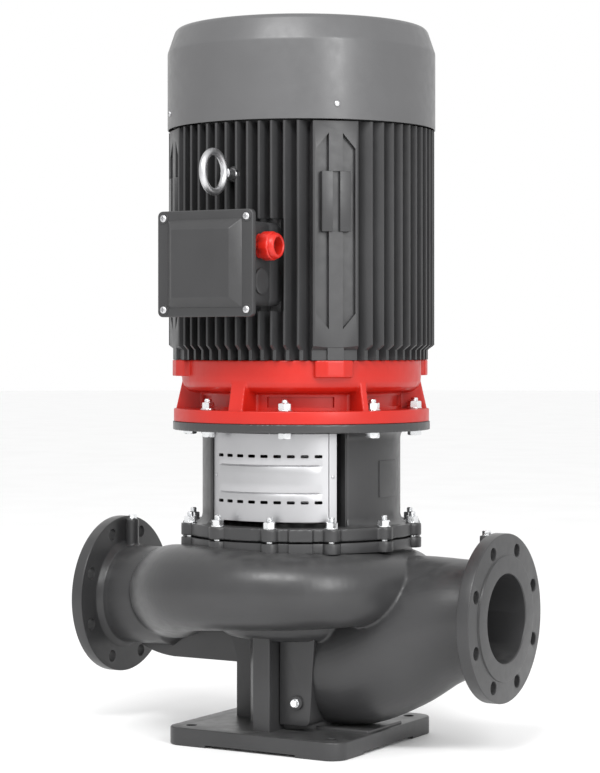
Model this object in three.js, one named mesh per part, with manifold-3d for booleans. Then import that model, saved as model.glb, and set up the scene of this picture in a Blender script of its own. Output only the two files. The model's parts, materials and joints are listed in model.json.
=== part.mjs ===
// Vertical in-line centrifugal pump, close-coupled to a flange-mounted electric motor.
// Millimetres. +Z is up and Z = 0 is the floor under the foot. +X points out of the suction
// flange and -Y is the terminal-box side. A heading is an angle about Z that starts at the
// front (-Y) and turns towards the suction flange (+X).

import * as THREE from 'three';
import { mergeVertices } from 'three/addons/utils/BufferGeometryUtils.js';
import Module from 'manifold-3d';

const wasm = await Module();
wasm.setup();

// ---------- Driving dimensions ----------

const GAP = 0.3; // between pieces that touch
const ROUND = 24; // facets around a large turned piece, the same on all so that they nest
const SMALL_ROUND = 16; // facets around shafts and fittings
const HOLE_ROUND = 8; // facets around fasteners and their holes

const FACE_TO_FACE = 800;
const NOZZLE_HEIGHT = 235; // centre of both pipe flanges
const PIPE_FLANGE = {
  radius: 142.5,
  thickness: 22,
  faceRadius: 106,
  faceHeight: 3,
  boreRadius: 75,
  neckRadius: 89,
  boltCircle: 120,
  holeRadius: 11,
  holes: 8,
};

const NECK_START = 262; // where each flange's straight neck leaves the casing's limb
const BORE_START = { suction: 304, discharge: 268 }; // where the straight bores meet the cast passages

const FOOT = { side: 350, corner: 30, top: 31, relief: 5, padLength: 85, holeAt: 140, holeRadius: 9 };
const PEDESTAL_RADIUS = 90; // upright between the foot and the bowl
const BOWL = { radius: 150, bottom: 185, corner: 26 };
const WALL = 11; // of the volute and its discharge limb

// The volute's spiral: its section grows from the tongue round to the discharge limb.
const SPIRAL = {
  startHeading: 252,
  endHeading: 0,
  startRadius: 166,
  endRadius: 205,
  startSection: 38,
  endSection: 68,
  height: 280,
  stations: 9,
};

// Heights of the stack above the volute.
const CASING_FLANGE_LOW = 342;
const CASING_FLANGE_TOP = 360;
const LANTERN_LOW = 363;
const LANTERN_FLANGE_TOP = 384;
const LANTERN_HEAD_LOW = 546;
const LANTERN_TOP = 560.6;
const SHIELD_FLANGE_TOP = 582.5;
const SHIELD_TOP = 668;
const FRAME_TOP = 1068;
const COWL_LOW = 1070.6;
const COWL_SHOULDER = 1205;
const COWL_TOP = 1248;

const CASING_STUDS = { count: 12, start: 15, circle: 200, radius: 6, nutAcross: 19, earRadius: 16 };
const CLAMP_LUGS = { count: 4, start: 30, halfWidth: 21.5, reach: 208.5 };
const FLANGE_WAIST = 203; // clamp flanges between their ears
const CHAMBER_RADIUS = 162; // room for the impeller
const SPIGOT_RADIUS = 180; // seat of the casing cover

const LANTERN = { radius: 174.5, innerRadius: 158, jambRadius: 138, headRadius: 226.5, footBore: 70, headBore: 150 };
const WINDOW = { from: -33, to: 56.5 }; // headings of the front window, repeated at the rear
const GUARD = {
  low: 394,
  high: 543,
  radius: 174,
  sheet: 2,
  panelFrom: -25,
  panelTo: 46,
  stripFrom: -32.4,
  stripTo: 51,
  step: 4,
  slotRows: [427, 505],
  slots: 9,
  slotWidth: 13.5,
  slotHeight: 5.4,
};

const MOTOR_BOLTS = { count: 8, start: 22.5, circle: 200, radius: 7, nutAcross: 21 };
const SHIELD = { flangeRadius: 225, neckRadius: 175, bowlRadius: 211 };
const FRAME = { bore: 184.3, rootRadius: 199, tipRadius: 235, footTipRadius: 223, taperLow: 685, taperHigh: 696 };
const COWL = { radius: 236, rimRadius: 223, topRadius: 218, sheet: 2.5 };
const GRILLE = [
  { count: 8, from: 45, to: 100, halfWidth: 7 },
  { count: 16, from: 115, to: 195, halfWidth: 7 },
];
const FAN = { low: 1115, high: 1155, radius: 150, blades: 7 };
const FINS = { perSide: 12, pitch: 20.5, tipHalf: 2.2, rootHalf: 3.4 };
const PAD = { reach: 229, halfWidth: 39, low: 698, pocketLow: 720, pocketHigh: 1048, pocketHalf: 34, ribHalf: 12 };

const BOX = { halfWidth: 75, low: 759, high: 898, back: 232, front: 302.7, wall: 6 };
const SADDLE = { halfWidth: 92, low: 750, high: 905, depth: 196 }; // where the fins make room for the box
const BOX_COVER = { halfWidth: 93, halfHeight: 88, middle: 828, corner: 9, back: 303, front: 315 };
const COVER_PANEL = { half: 73, bevel: 17, rise: 15 };
const CABLE_ENTRY = { depth: 260, holeRadius: 16 }; // on the +X wall of the terminal box
const GLAND = { height: 857, collarRadius: 23, nutRadius: 24, passage: 14.5, nutLow: 83, end: 110 };
const BLANK = { height: 799, radius: 22, thickness: 3 };
const EYE = {
  height: 981,
  reach: 287,
  ringRadius: 33.3,
  wireRadius: 6.2,
  shankRadius: 8,
  seat: 226,
  seatRadius: 13,
  collar: 10,
};
const GAUGE_BOSS = { at: 362, radius: 12, top: 373, holeRadius: 5.3, holeLow: 358 };
const DRAIN = { x: 54.5, y: -113, z: 81, radius: 12, holeRadius: 5.3, holeDepth: 16 };

const BEARING_LOW = { low: 604, high: 637, outer: 70, inner: 32.5 };
const BEARING_HIGH = { low: 1075, high: 1098, outer: 60, inner: 32.5 };
const STATOR = { inner: 121, outer: 184, low: 750, high: 990 };
const SHAFT = { motor: 27.5, bearing: 32.5, core: 35, fan: 24, pump: 22, impeller: 20, thread: 12 };
const SHAFT_JOINT = 468; // the pump shaft ends just below it, the motor shaft just above
const IMPELLER = { radius: 155, eye: 70, neck: 80, low: 229, top: 308, hubTop: 312, hubLow: 242 };
const WEAR_RING = { inner: 82, outer: 88, low: 229, high: 245 };
const COVER_PLUG_LOW = 322;
const COVER_RIM_LOW = CASING_FLANGE_TOP - 8 + GAP;
const SEAL_FACE = 345; // where the rotating ring meets the seat

// ---------- Finishes ----------

const DARK_PAINT = { color: 0x45474a, roughness: 0.5, metalness: 0.1 };
const COWL_PAINT = { color: 0x6c6d70, roughness: 0.45, metalness: 0.2 };
const FRAME_PAINT = { color: 0x3b3c3f, roughness: 0.55, metalness: 0.1 };
const RED_PAINT = { color: 0xd93a26, roughness: 0.45, metalness: 0.05 };
const ZINC = { color: 0xd0d2d4, roughness: 0.3, metalness: 0.9 };
const STAINLESS = { color: 0xc4c6c8, roughness: 0.35, metalness: 0.9 };
const STEEL = { color: 0x9a9c9f, roughness: 0.35, metalness: 0.9 };
const CAST_IRON = { color: 0x55565a, roughness: 0.7, metalness: 0.5 };
const BRONZE = { color: 0xb08a4a, roughness: 0.4, metalness: 0.9 };
const LAMINATION = { color: 0x6f7276, roughness: 0.5, metalness: 0.7 };
const COPPER = { color: 0xb4662f, roughness: 0.45, metalness: 0.7 };
const RED_PLASTIC = { color: 0xd8321f, roughness: 0.4, metalness: 0 };
const BLACK_PLASTIC = { color: 0x2c2d2f, roughness: 0.5, metalness: 0 };
const RUBBER = { color: 0x1f1f20, roughness: 0.8, metalness: 0 };
const CERAMIC = { color: 0xe6e1d6, roughness: 0.3, metalness: 0 };

// ---------- Geometry helpers ----------

const radians = THREE.MathUtils.degToRad;

// A closed mesh as a solid for joining and cutting: shared vertices, outward faces.
function toSolid(geometry) {
  const bare = new THREE.BufferGeometry();
  bare.setAttribute('position', geometry.getAttribute('position').clone());
  bare.setIndex(geometry.index ? geometry.index.clone() : null);
  const merged = mergeVertices(bare, 1e-4);
  const points = merged.getAttribute('position').array;
  const corners = merged.index.array;
  const triangles = [];
  let volume = 0;
  const a = new THREE.Vector3();
  const b = new THREE.Vector3();
  const c = new THREE.Vector3();
  for (let i = 0; i < corners.length; i += 3) {
    const [p, q, r] = [corners[i], corners[i + 1], corners[i + 2]];
    if (p === q || q === r || r === p) continue;
    triangles.push([p, q, r]);
    volume += a.fromArray(points, p * 3).dot(b.fromArray(points, q * 3).cross(c.fromArray(points, r * 3)));
  }
  const outward = volume > 0 ? triangles : triangles.map(([p, q, r]) => [p, r, q]);
  return new wasm.Manifold(new wasm.Mesh({
    numProp: 3,
    vertProperties: Float32Array.from(points),
    triVerts: Uint32Array.from(outward.flat()),
  }));
}

function toGeometry(solid) {
  const mesh = solid.getMesh();
  const geometry = new THREE.BufferGeometry();
  geometry.setAttribute('position', new THREE.BufferAttribute(mesh.vertProperties, 3));
  geometry.setIndex(new THREE.BufferAttribute(mesh.triVerts, 1));
  geometry.computeVertexNormals();
  return geometry;
}

function join(...pieces) {
  return toGeometry(pieces.map(toSolid).reduce((whole, piece) => whole.add(piece)));
}

function cut(body, ...tools) {
  return toGeometry(tools.map(toSolid).reduce((rest, tool) => rest.subtract(tool), toSolid(body)));
}

function overlap(one, other) {
  return toGeometry(toSolid(one).intersect(toSolid(other)));
}

// A turned piece from its half section, a list of [radius, height] corners.
function turned(section, facets = ROUND) {
  const solid = section[0][0] === 0 && section[section.length - 1][0] === 0;
  const corners = solid ? section : [...section, section[0]];
  const profile = corners.map(([radius, height]) => new THREE.Vector2(radius, height));
  // A profile that runs anticlockwise gives faces that point outwards.
  if (THREE.ShapeUtils.area(profile) < 0) profile.reverse();
  return new THREE.LatheGeometry(profile, facets).rotateX(Math.PI / 2);
}

function disc(radius, low, high, facets = ROUND) {
  return turned([[0, low], [radius, low], [radius, high], [0, high]], facets);
}

function ring(inner, outer, low, high, facets = ROUND) {
  return turned([[inner, low], [outer, low], [outer, high], [inner, high]], facets);
}

// An upright prism of a plan outline.
function prism(shape, low, high, curveSegments = 6) {
  const settings = { depth: high - low, bevelEnabled: false, curveSegments };
  return new THREE.ExtrudeGeometry(shape, settings).translate(0, 0, low);
}

function outline(points) {
  return new THREE.Shape(points.map(([x, y]) => new THREE.Vector2(x, y)));
}

function block(x0, x1, y0, y1, z0, z1) {
  const middle = [(x0 + x1) / 2, (y0 + y1) / 2, (z0 + z1) / 2];
  return new THREE.BoxGeometry(x1 - x0, y1 - y0, z1 - z0).translate(...middle);
}

function roundedRectangle(halfX, halfY, corner) {
  const shape = new THREE.Shape();
  shape.absarc(halfX - corner, halfY - corner, corner, 0, Math.PI / 2);
  shape.absarc(corner - halfX, halfY - corner, corner, Math.PI / 2, Math.PI);
  shape.absarc(corner - halfX, corner - halfY, corner, Math.PI, 1.5 * Math.PI);
  shape.absarc(halfX - corner, corner - halfY, corner, 1.5 * Math.PI, 2 * Math.PI);
  return shape;
}

function hexagon(acrossFlats, low, high) {
  return disc(acrossFlats / Math.sqrt(3), low, high, 6);
}

// Copies of a piece made at the front, spread evenly about the pump's axis.
function around(count, start, make) {
  return Array.from({ length: count }, (_, index) => make(index).rotateZ(radians(start + (index * 360) / count)));
}

function atHeading(heading, radius, height) {
  const angle = radians(heading);
  return new THREE.Vector3(radius * Math.sin(angle), -radius * Math.cos(angle), height);
}

// An upright piece laid over so that its axis points to the front, from depth low to high.
function facingFront(geometry) {
  return geometry.rotateX(Math.PI / 2);
}

// An upright piece laid over so that its axis points to +X.
function facingSuction(geometry) {
  return geometry.rotateY(Math.PI / 2);
}

// A limb of changing section: a closed cylinder bent along the curve through its stations.
function limb(stations, steps, sides, across) {
  const path = new THREE.CatmullRomCurve3(stations.map(({ at }) => at), false, 'centripetal');
  const last = stations.length - 1;
  const body = new THREE.CylinderGeometry(1, 1, 1, sides, steps);
  const points = body.getAttribute('position');
  for (let i = 0; i < points.count; i += 1) {
    const along = THREE.MathUtils.clamp(points.getY(i) + 0.5, 0, 1);
    const near = Math.min(Math.floor(along * last), last - 1);
    const radius = THREE.MathUtils.lerp(stations[near].radius, stations[near + 1].radius, along * last - near);
    const tangent = path.getTangent(along);
    const side = new THREE.Vector3().crossVectors(across, tangent).normalize();
    const up = new THREE.Vector3().crossVectors(tangent, side);
    const place = path.getPoint(along);
    place.addScaledVector(side, points.getX(i) * radius);
    place.addScaledVector(up, points.getZ(i) * radius);
    points.setXYZ(i, place.x, place.y, place.z);
  }
  return body;
}

// ---------- Pump casing ----------

function station(x, y, z, radius) {
  return { at: new THREE.Vector3(x, y, z), radius };
}

function spiralStations() {
  const { startHeading, endHeading, startRadius, endRadius, startSection, endSection, height, stations } = SPIRAL;
  return Array.from({ length: stations }, (_, index) => {
    const share = index / (stations - 1);
    const heading = THREE.MathUtils.lerp(startHeading, endHeading, share);
    const radius = THREE.MathUtils.lerp(startRadius, endRadius, share);
    return {
      at: atHeading(heading, radius, height),
      radius: THREE.MathUtils.lerp(startSection, endSection, share),
    };
  });
}

// From the front of the volute, out to the left and back in line with the discharge flange.
function dischargeStations() {
  return [
    station(-112, -190, 276, 74),
    station(-165, -150, 267, 79),
    station(-199, -100, 257, 81),
    station(-231, -48, 248, 81),
    station(-285, -6, 239, 79),
  ];
}

// From the suction flange, down and under the volute to the impeller's eye.
function suctionStations() {
  return [
    station(385, 0, NOZZLE_HEIGHT, PIPE_FLANGE.neckRadius),
    station(350, 0, NOZZLE_HEIGHT, 94),
    station(310, 0, 230, 101),
    station(255, 0, 210, 106),
    station(190, 0, 173, 109),
    station(112, 0, 141, 108),
    station(40, 0, 130, 96),
    station(-10, 0, 134, 86),
  ];
}

// A straight back that keeps the top of the suction limb level where it runs into the volute.
function suctionHood() {
  const stations = [station(180, 0, 262, 70), station(255, 0, 255.5, 78), station(330, 0, 243, 88)];
  return limb(stations, 3, 14, new THREE.Vector3(0, 1, 0));
}

function suctionPassage() {
  return [
    station(330, 0, NOZZLE_HEIGHT, 66),
    station(300, 0, 230, 77),
    station(255, 0, 213, 80),
    station(190, 0, 180, 84),
    station(112, 0, 150, 82),
    station(45, 0, 144, 76),
    station(5, 0, 152, 70),
  ];
}

function dischargePassage() {
  return [...spiralStations(), ...dischargeStations()].map(({ at, radius }) => ({ at, radius: radius - WALL }));
}

// The straight bore inside the flange that faces +X.
function pipeBore(start) {
  const { boreRadius } = PIPE_FLANGE;
  return facingSuction(disc(boreRadius, start, FACE_TO_FACE / 2 + 5)).translate(0, 0, NOZZLE_HEIGHT);
}

// A pipe flange facing +X on its straight neck, without its bore.
function pipeFlange() {
  const { radius, thickness, faceRadius, faceHeight } = PIPE_FLANGE;
  const face = FACE_TO_FACE / 2;
  const back = face - faceHeight - thickness;
  const section = [
    [0, NECK_START - 40],
    [60, NECK_START - 40],
    [PIPE_FLANGE.neckRadius, NECK_START],
    [PIPE_FLANGE.neckRadius, back - 6],
    [PIPE_FLANGE.neckRadius + 8, back],
    [radius, back],
    [radius, face - faceHeight],
    [faceRadius, face - faceHeight],
    [faceRadius, face],
    [0, face],
  ];
  return facingSuction(turned(section)).translate(0, 0, NOZZLE_HEIGHT);
}

function pipeFlangeHoles() {
  const { holes, boltCircle, holeRadius } = PIPE_FLANGE;
  const face = FACE_TO_FACE / 2;
  const tools = around(holes, 180 / holes, () => {
    return disc(holeRadius, face - 32, face + 5, HOLE_ROUND).translate(0, -boltCircle, 0);
  });
  return tools.map((tool) => facingSuction(tool).translate(0, 0, NOZZLE_HEIGHT));
}

// The boss behind a flange that takes a pressure gauge.
function gaugeBoss() {
  return disc(GAUGE_BOSS.radius, NOZZLE_HEIGHT + 60, GAUGE_BOSS.top, HOLE_ROUND).translate(GAUGE_BOSS.at, 0, 0);
}

function gaugeHole() {
  return disc(GAUGE_BOSS.holeRadius, GAUGE_BOSS.holeLow, GAUGE_BOSS.top + 5, HOLE_ROUND).translate(GAUGE_BOSS.at, 0, 0);
}

function foot() {
  const { side, corner, top, relief, padLength, holeAt, holeRadius } = FOOT;
  const half = side / 2;
  const plate = prism(roundedRectangle(half, half, corner), 0, top, 3);
  const slot = half - padLength;
  const land = 60; // the middle of the underside also rests on the floor
  const reliefs = [
    block(-slot, slot, -half - 1, -land, -1, relief),
    block(-slot, slot, land, half + 1, -1, relief),
    block(-half - 1, -land, -slot, slot, -1, relief),
    block(land, half + 1, -slot, slot, -1, relief),
  ];
  const bolts = around(4, 45, () => disc(holeRadius, -1, top + 1, HOLE_ROUND).translate(0, -holeAt * Math.SQRT2, 0));
  return cut(plate, ...reliefs, ...bolts);
}

// The web in the pump's plane that carries the discharge limb.
function dischargeWeb() {
  const shape = new THREE.Shape();
  shape.moveTo(0, FOOT.top - 5);
  shape.lineTo(-127, FOOT.top - 5);
  shape.lineTo(-127, 127);
  shape.lineTo(-262, 127);
  shape.quadraticCurveTo(-315, 130, -352, 154);
  shape.lineTo(-352, 200);
  shape.lineTo(0, 250);
  return facingFront(prism(shape, -12, 14));
}

// The narrow plate beside the front column, and the boss that the drain plug screws into.
function drainPlate() {
  const shape = new THREE.Shape();
  shape.moveTo(19, 41);
  shape.lineTo(66, 41);
  shape.quadraticCurveTo(79, 41, 79, 55);
  shape.lineTo(89, 200);
  shape.lineTo(19, 200);
  const plate = facingFront(prism(shape, 40, 107));
  const boss = facingFront(disc(DRAIN.radius, 60, -DRAIN.y, HOLE_ROUND)).translate(DRAIN.x, 0, DRAIN.z);
  return join(plate, boss);
}

function drainHole() {
  const mouth = -DRAIN.y;
  const hole = disc(DRAIN.holeRadius, mouth - DRAIN.holeDepth, mouth + 5, HOLE_ROUND);
  return facingFront(hole).translate(DRAIN.x, 0, DRAIN.z);
}

// The plan outline that the casing flange and the lantern's foot share.
function clampFlange(low, high) {
  const ears = around(CASING_STUDS.count, CASING_STUDS.start, () => {
    const ear = disc(CASING_STUDS.earRadius, low, high, HOLE_ROUND);
    return ear.translate(0, -CASING_STUDS.circle, 0);
  });
  const { halfWidth, reach } = CLAMP_LUGS;
  const lugs = around(CLAMP_LUGS.count, CLAMP_LUGS.start, () => block(-halfWidth, halfWidth, -reach, -150, low, high));
  return join(disc(FLANGE_WAIST, low, high), ...ears, ...lugs);
}

function studHoles(low, high, radius) {
  return around(CASING_STUDS.count, CASING_STUDS.start, () => {
    return disc(radius, low, high, HOLE_ROUND).translate(0, -CASING_STUDS.circle, 0);
  });
}

function pumpCasing() {
  const upward = new THREE.Vector3(0, 0, 1);
  const sideways = new THREE.Vector3(0, 1, 0);
  const { radius, bottom, corner } = BOWL;
  const bowl = turned([
    [0, bottom],
    [radius - corner, bottom],
    [radius - corner * 0.4, bottom + corner * 0.3],
    [radius, bottom + corner],
    [radius, 250],
    [192, 290],
    [195, CASING_FLANGE_LOW + 2],
    [0, CASING_FLANGE_LOW + 2],
  ]);
  const outside = join(
    bowl,
    limb([...spiralStations(), ...dischargeStations()], 24, 12, upward),
    limb(suctionStations(), 10, 16, sideways),
    suctionHood(),
    disc(PEDESTAL_RADIUS, FOOT.top - 5, bottom + 10),
    clampFlange(CASING_FLANGE_LOW, CASING_FLANGE_TOP),
    pipeFlange(),
    pipeFlange().rotateZ(Math.PI),
    gaugeBoss(),
    gaugeBoss().rotateZ(Math.PI),
    dischargeWeb(),
    block(-17, 17, -138, -60, FOOT.top - 5, bottom + 10),
    block(52, 168, -62, 62, FOOT.top - 5, FOOT.top + 5),
    drainPlate(),
    foot(),
  );
  return cut(
    outside,
    limb(dischargePassage(), 24, 8, upward),
    limb(suctionPassage(), 10, 12, sideways),
    pipeBore(BORE_START.suction),
    pipeBore(BORE_START.discharge).rotateZ(Math.PI),
    disc(IMPELLER.eye + 2, 145, IMPELLER.low + 5, SMALL_ROUND),
    disc(WEAR_RING.outer + GAP, WEAR_RING.low - GAP, 255),
    disc(CHAMBER_RADIUS, 252, CASING_FLANGE_TOP - 6),
    disc(SPIGOT_RADIUS, CASING_FLANGE_TOP - 8, CASING_FLANGE_TOP + 5),
    ...studHoles(CASING_FLANGE_LOW + 3, CASING_FLANGE_TOP + 5, CASING_STUDS.radius + GAP),
    ...pipeFlangeHoles(),
    ...pipeFlangeHoles().map((hole) => hole.rotateZ(Math.PI)),
    gaugeHole(),
    gaugeHole().rotateZ(Math.PI),
    drainHole(),
  );
}

// ---------- Hydraulic internals ----------

function casingCover() {
  return turned([
    [40, COVER_PLUG_LOW],
    [CHAMBER_RADIUS - 1, COVER_PLUG_LOW],
    [CHAMBER_RADIUS - 1, COVER_RIM_LOW],
    [SPIGOT_RADIUS - GAP, COVER_RIM_LOW],
    [SPIGOT_RADIUS - GAP, LANTERN_LOW - GAP],
    [60, LANTERN_LOW - GAP],
    [60, LANTERN_FLANGE_TOP + 1],
    [26, LANTERN_FLANGE_TOP + 1],
    [26, SEAL_FACE + 11],
    [36 + GAP, SEAL_FACE + 11],
    [36 + GAP, SEAL_FACE],
    [40, SEAL_FACE],
  ]);
}

function impeller() {
  const { radius, eye, neck, low, top } = IMPELLER;
  const frontShroud = turned([
    [eye, low],
    [neck, low],
    [neck, 250],
    [100, 262],
    [radius, 268],
    [radius, 273],
    [100, 268],
    [eye, 256],
  ], SMALL_ROUND);
  const backShroud = turned([
    [SHAFT.impeller + GAP, IMPELLER.hubLow],
    [30, IMPELLER.hubLow],
    [38, 285],
    [70, 297],
    [radius, 300],
    [radius, top],
    [34, top],
    [34, IMPELLER.hubTop],
    [SHAFT.impeller + GAP, IMPELLER.hubTop],
  ], SMALL_ROUND);
  const vanes = around(6, 0, () => vane(60, radius - 1, 262, 303));
  return join(frontShroud, backShroud, ...vanes);
}

// A blade that sweeps backwards from the eye to the rim.
function vane(inner, outer, low, high) {
  const sweep = 75;
  const steps = 3;
  const half = 2.5;
  const edge = (offset) => Array.from({ length: steps + 1 }, (_, index) => {
    const share = index / steps;
    const place = atHeading(sweep * share, THREE.MathUtils.lerp(inner, outer, share) + offset, 0);
    return [place.x, place.y];
  });
  return prism(outline([...edge(half), ...edge(-half).reverse()]), low, high);
}

// ---------- Lantern and coupling guards ----------

// A wedge from the axis outwards between two headings.
function wedge(from, to, radius, low, high) {
  const steps = 4;
  const arc = Array.from({ length: steps + 1 }, (_, index) => {
    const place = atHeading(THREE.MathUtils.lerp(from, to, index / steps), radius, 0);
    return [place.x, place.y];
  });
  return prism(outline([[0, 0], ...arc]), low, high);
}

function lantern() {
  const { radius, innerRadius, headRadius, footBore, headBore } = LANTERN;
  const window = () => wedge(WINDOW.from, WINDOW.to, 230, LANTERN_FLANGE_TOP, LANTERN_HEAD_LOW);
  const barrel = cut(
    ring(innerRadius, radius, LANTERN_FLANGE_TOP - 2, LANTERN_HEAD_LOW + 2),
    window(),
    window().rotateZ(Math.PI),
  );
  // The window's right-hand jamb is thicker than the barrel.
  const jamb = cut(
    wedge(WINDOW.to, WINDOW.to + 5, innerRadius + 4, LANTERN_FLANGE_TOP - 2, LANTERN_HEAD_LOW + 2),
    disc(LANTERN.jambRadius, LANTERN_FLANGE_TOP - 5, LANTERN_HEAD_LOW + 5),
  );
  const label = cut(wedge(80, 100, radius + 1.8, 432, 495), disc(radius - 4, 430, 500));
  const body = join(
    clampFlange(LANTERN_LOW, LANTERN_FLANGE_TOP),
    barrel,
    jamb,
    jamb.clone().rotateZ(Math.PI),
    label,
    disc(headRadius, LANTERN_HEAD_LOW, LANTERN_TOP),
  );
  return cut(
    body,
    disc(footBore, LANTERN_LOW - 5, LANTERN_FLANGE_TOP + 5),
    disc(headBore, LANTERN_HEAD_LOW - 5, LANTERN_TOP + 5),
    ...studHoles(LANTERN_LOW - 5, LANTERN_FLANGE_TOP + 5, CASING_STUDS.radius + 0.5),
    ...motorBoltHoles(LANTERN_HEAD_LOW - 5, LANTERN_TOP + 5),
  );
}

function motorBoltHoles(low, high) {
  return around(MOTOR_BOLTS.count, MOTOR_BOLTS.start, () => {
    return disc(MOTOR_BOLTS.radius + 0.5, low, high, HOLE_ROUND).translate(0, -MOTOR_BOLTS.circle, 0);
  });
}

// A perforated sheet that closes one window, with a stepped-back strip along each side.
function couplingGuard() {
  const { low, high, radius, sheet, panelFrom, panelTo, stripFrom, stripTo, step } = GUARD;
  const { slotRows, slots, slotWidth, slotHeight } = GUARD;
  const arc = (from, to, at, steps) => Array.from({ length: steps + 1 }, (_, index) => {
    const place = atHeading(THREE.MathUtils.lerp(from, to, index / steps), at, 0);
    return [place.x, place.y];
  });
  const surface = (at) => [
    ...arc(stripFrom, panelFrom - 1, at - step, 1),
    ...arc(panelFrom, panelTo, at, 10),
    ...arc(panelTo + 1, stripTo, at - step, 1),
  ];
  const panel = prism(outline([...surface(radius), ...surface(radius - sheet).reverse()]), low, high);
  const slotPitch = (panelTo - panelFrom - 9) / (slots - 1);
  const openings = slotRows.flatMap((height) => Array.from({ length: slots }, (_, index) => {
    const tool = block(-slotWidth / 2, slotWidth / 2, -200, -150, height - slotHeight / 2, height + slotHeight / 2);
    return tool.rotateZ(radians(panelFrom + 3 + index * slotPitch));
  }));
  return cut(panel, ...openings);
}

// ---------- Motor housing ----------

function driveEndShield() {
  const { flangeRadius, neckRadius, bowlRadius } = SHIELD;
  const bearing = BEARING_LOW.outer + GAP;
  const spigot = FRAME.bore - GAP;
  const shell = turned([
    [flangeRadius, LANTERN_TOP + GAP],
    [flangeRadius, SHIELD_FLANGE_TOP],
    [neckRadius, SHIELD_FLANGE_TOP],
    [neckRadius, 612],
    [187, 612],
    [204, 619],
    [bowlRadius, 634],
    [bowlRadius, SHIELD_TOP],
    [spigot, SHIELD_TOP],
    [spigot, SHIELD_TOP + 8],
    [172, SHIELD_TOP + 8],
    [172, 630],
    [158, 600],
    [92, 600],
    [86, BEARING_LOW.high + 3],
    [bearing, BEARING_LOW.high + 3],
    [bearing, BEARING_LOW.low],
    [40, BEARING_LOW.low],
    [40, 577],
    [138, 577],
    [138, LANTERN_TOP - 6],
    [LANTERN.headBore - GAP, LANTERN_TOP - 6],
    [LANTERN.headBore - GAP, LANTERN_TOP + GAP],
  ]);
  const ribs = around(6, 0, (index) => shieldRib(index % 3 === 0 ? 14 : 6));
  const lugs = around(4, 45, () => shieldLug());
  const body = join(shell, ...ribs, ...lugs);
  return cut(body, ...motorBoltHoles(LANTERN_TOP - 5, SHIELD_FLANGE_TOP + 5));
}

// A rib from the flange up to the bowl, its outer edge leaning inwards.
function shieldRib(half) {
  const side = outline([[165, SHIELD_FLANGE_TOP - 2], [222, SHIELD_FLANGE_TOP - 2], [207, 640], [180, 640]]);
  // The side view lies in the plane of X and Y: stand it up, then turn it to the front.
  return prism(side, -half, half).rotateX(Math.PI / 2).rotateZ(-Math.PI / 2);
}

function shieldLug() {
  const plan = outline([[-33, -200], [-33, -219], [-14.5, -PAD.reach], [14.5, -PAD.reach], [33, -219], [33, -200]]);
  return prism(plan, 640, SHIELD_TOP);
}

// The motor frame's outline: parallel fins on four sides and a flat pad across each corner.
function finnedOutline(tipRadius) {
  const points = [];
  const { perSide, pitch, tipHalf, rootHalf } = FINS;
  for (let side = 0; side < 4; side += 1) {
    const corners = [];
    for (let fin = 0; fin < perSide; fin += 1) {
      const x = (fin - (perSide - 1) / 2) * pitch;
      const root = (at) => -Math.sqrt(FRAME.rootRadius ** 2 - at ** 2);
      const tip = -Math.sqrt(tipRadius ** 2 - (Math.abs(x) + tipHalf) ** 2);
      if (fin > 0) corners.push([x - rootHalf, root(x - rootHalf)]);
      corners.push([x - tipHalf, tip], [x + tipHalf, tip]);
      if (fin < perSide - 1) corners.push([x + rootHalf, root(x + rootHalf)]);
    }
    const outermost = ((perSide - 1) / 2) * pitch + rootHalf - 0.2;
    const flank = outermost + PAD.halfWidth * Math.SQRT2;
    const edgeX = (PAD.reach - PAD.halfWidth) / Math.SQRT2;
    const edgeY = (PAD.reach + PAD.halfWidth) / Math.SQRT2;
    corners.unshift([-edgeX, -edgeY], [-outermost, -flank]);
    corners.push([outermost, -flank], [edgeX, -edgeY]);
    for (const [x, y] of corners) {
      points.push(new THREE.Vector2(x, y).rotateAround(new THREE.Vector2(), (side * Math.PI) / 2));
    }
  }
  return new THREE.Shape(points);
}

// The long hexagonal recess on each side of a pad's middle rib.
function padPocket() {
  const { pocketLow, pocketHigh, pocketHalf, ribHalf, reach } = PAD;
  const chamfer = pocketHalf - ribHalf + 4;
  const half = outline([
    [ribHalf, pocketLow],
    [pocketHalf, pocketLow + chamfer],
    [pocketHalf, pocketHigh - chamfer],
    [ribHalf, pocketHigh],
  ]);
  const right = facingFront(prism(half, reach - 9, reach + 5));
  return [right, right.clone().scale(-1, 1, 1)];
}

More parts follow.
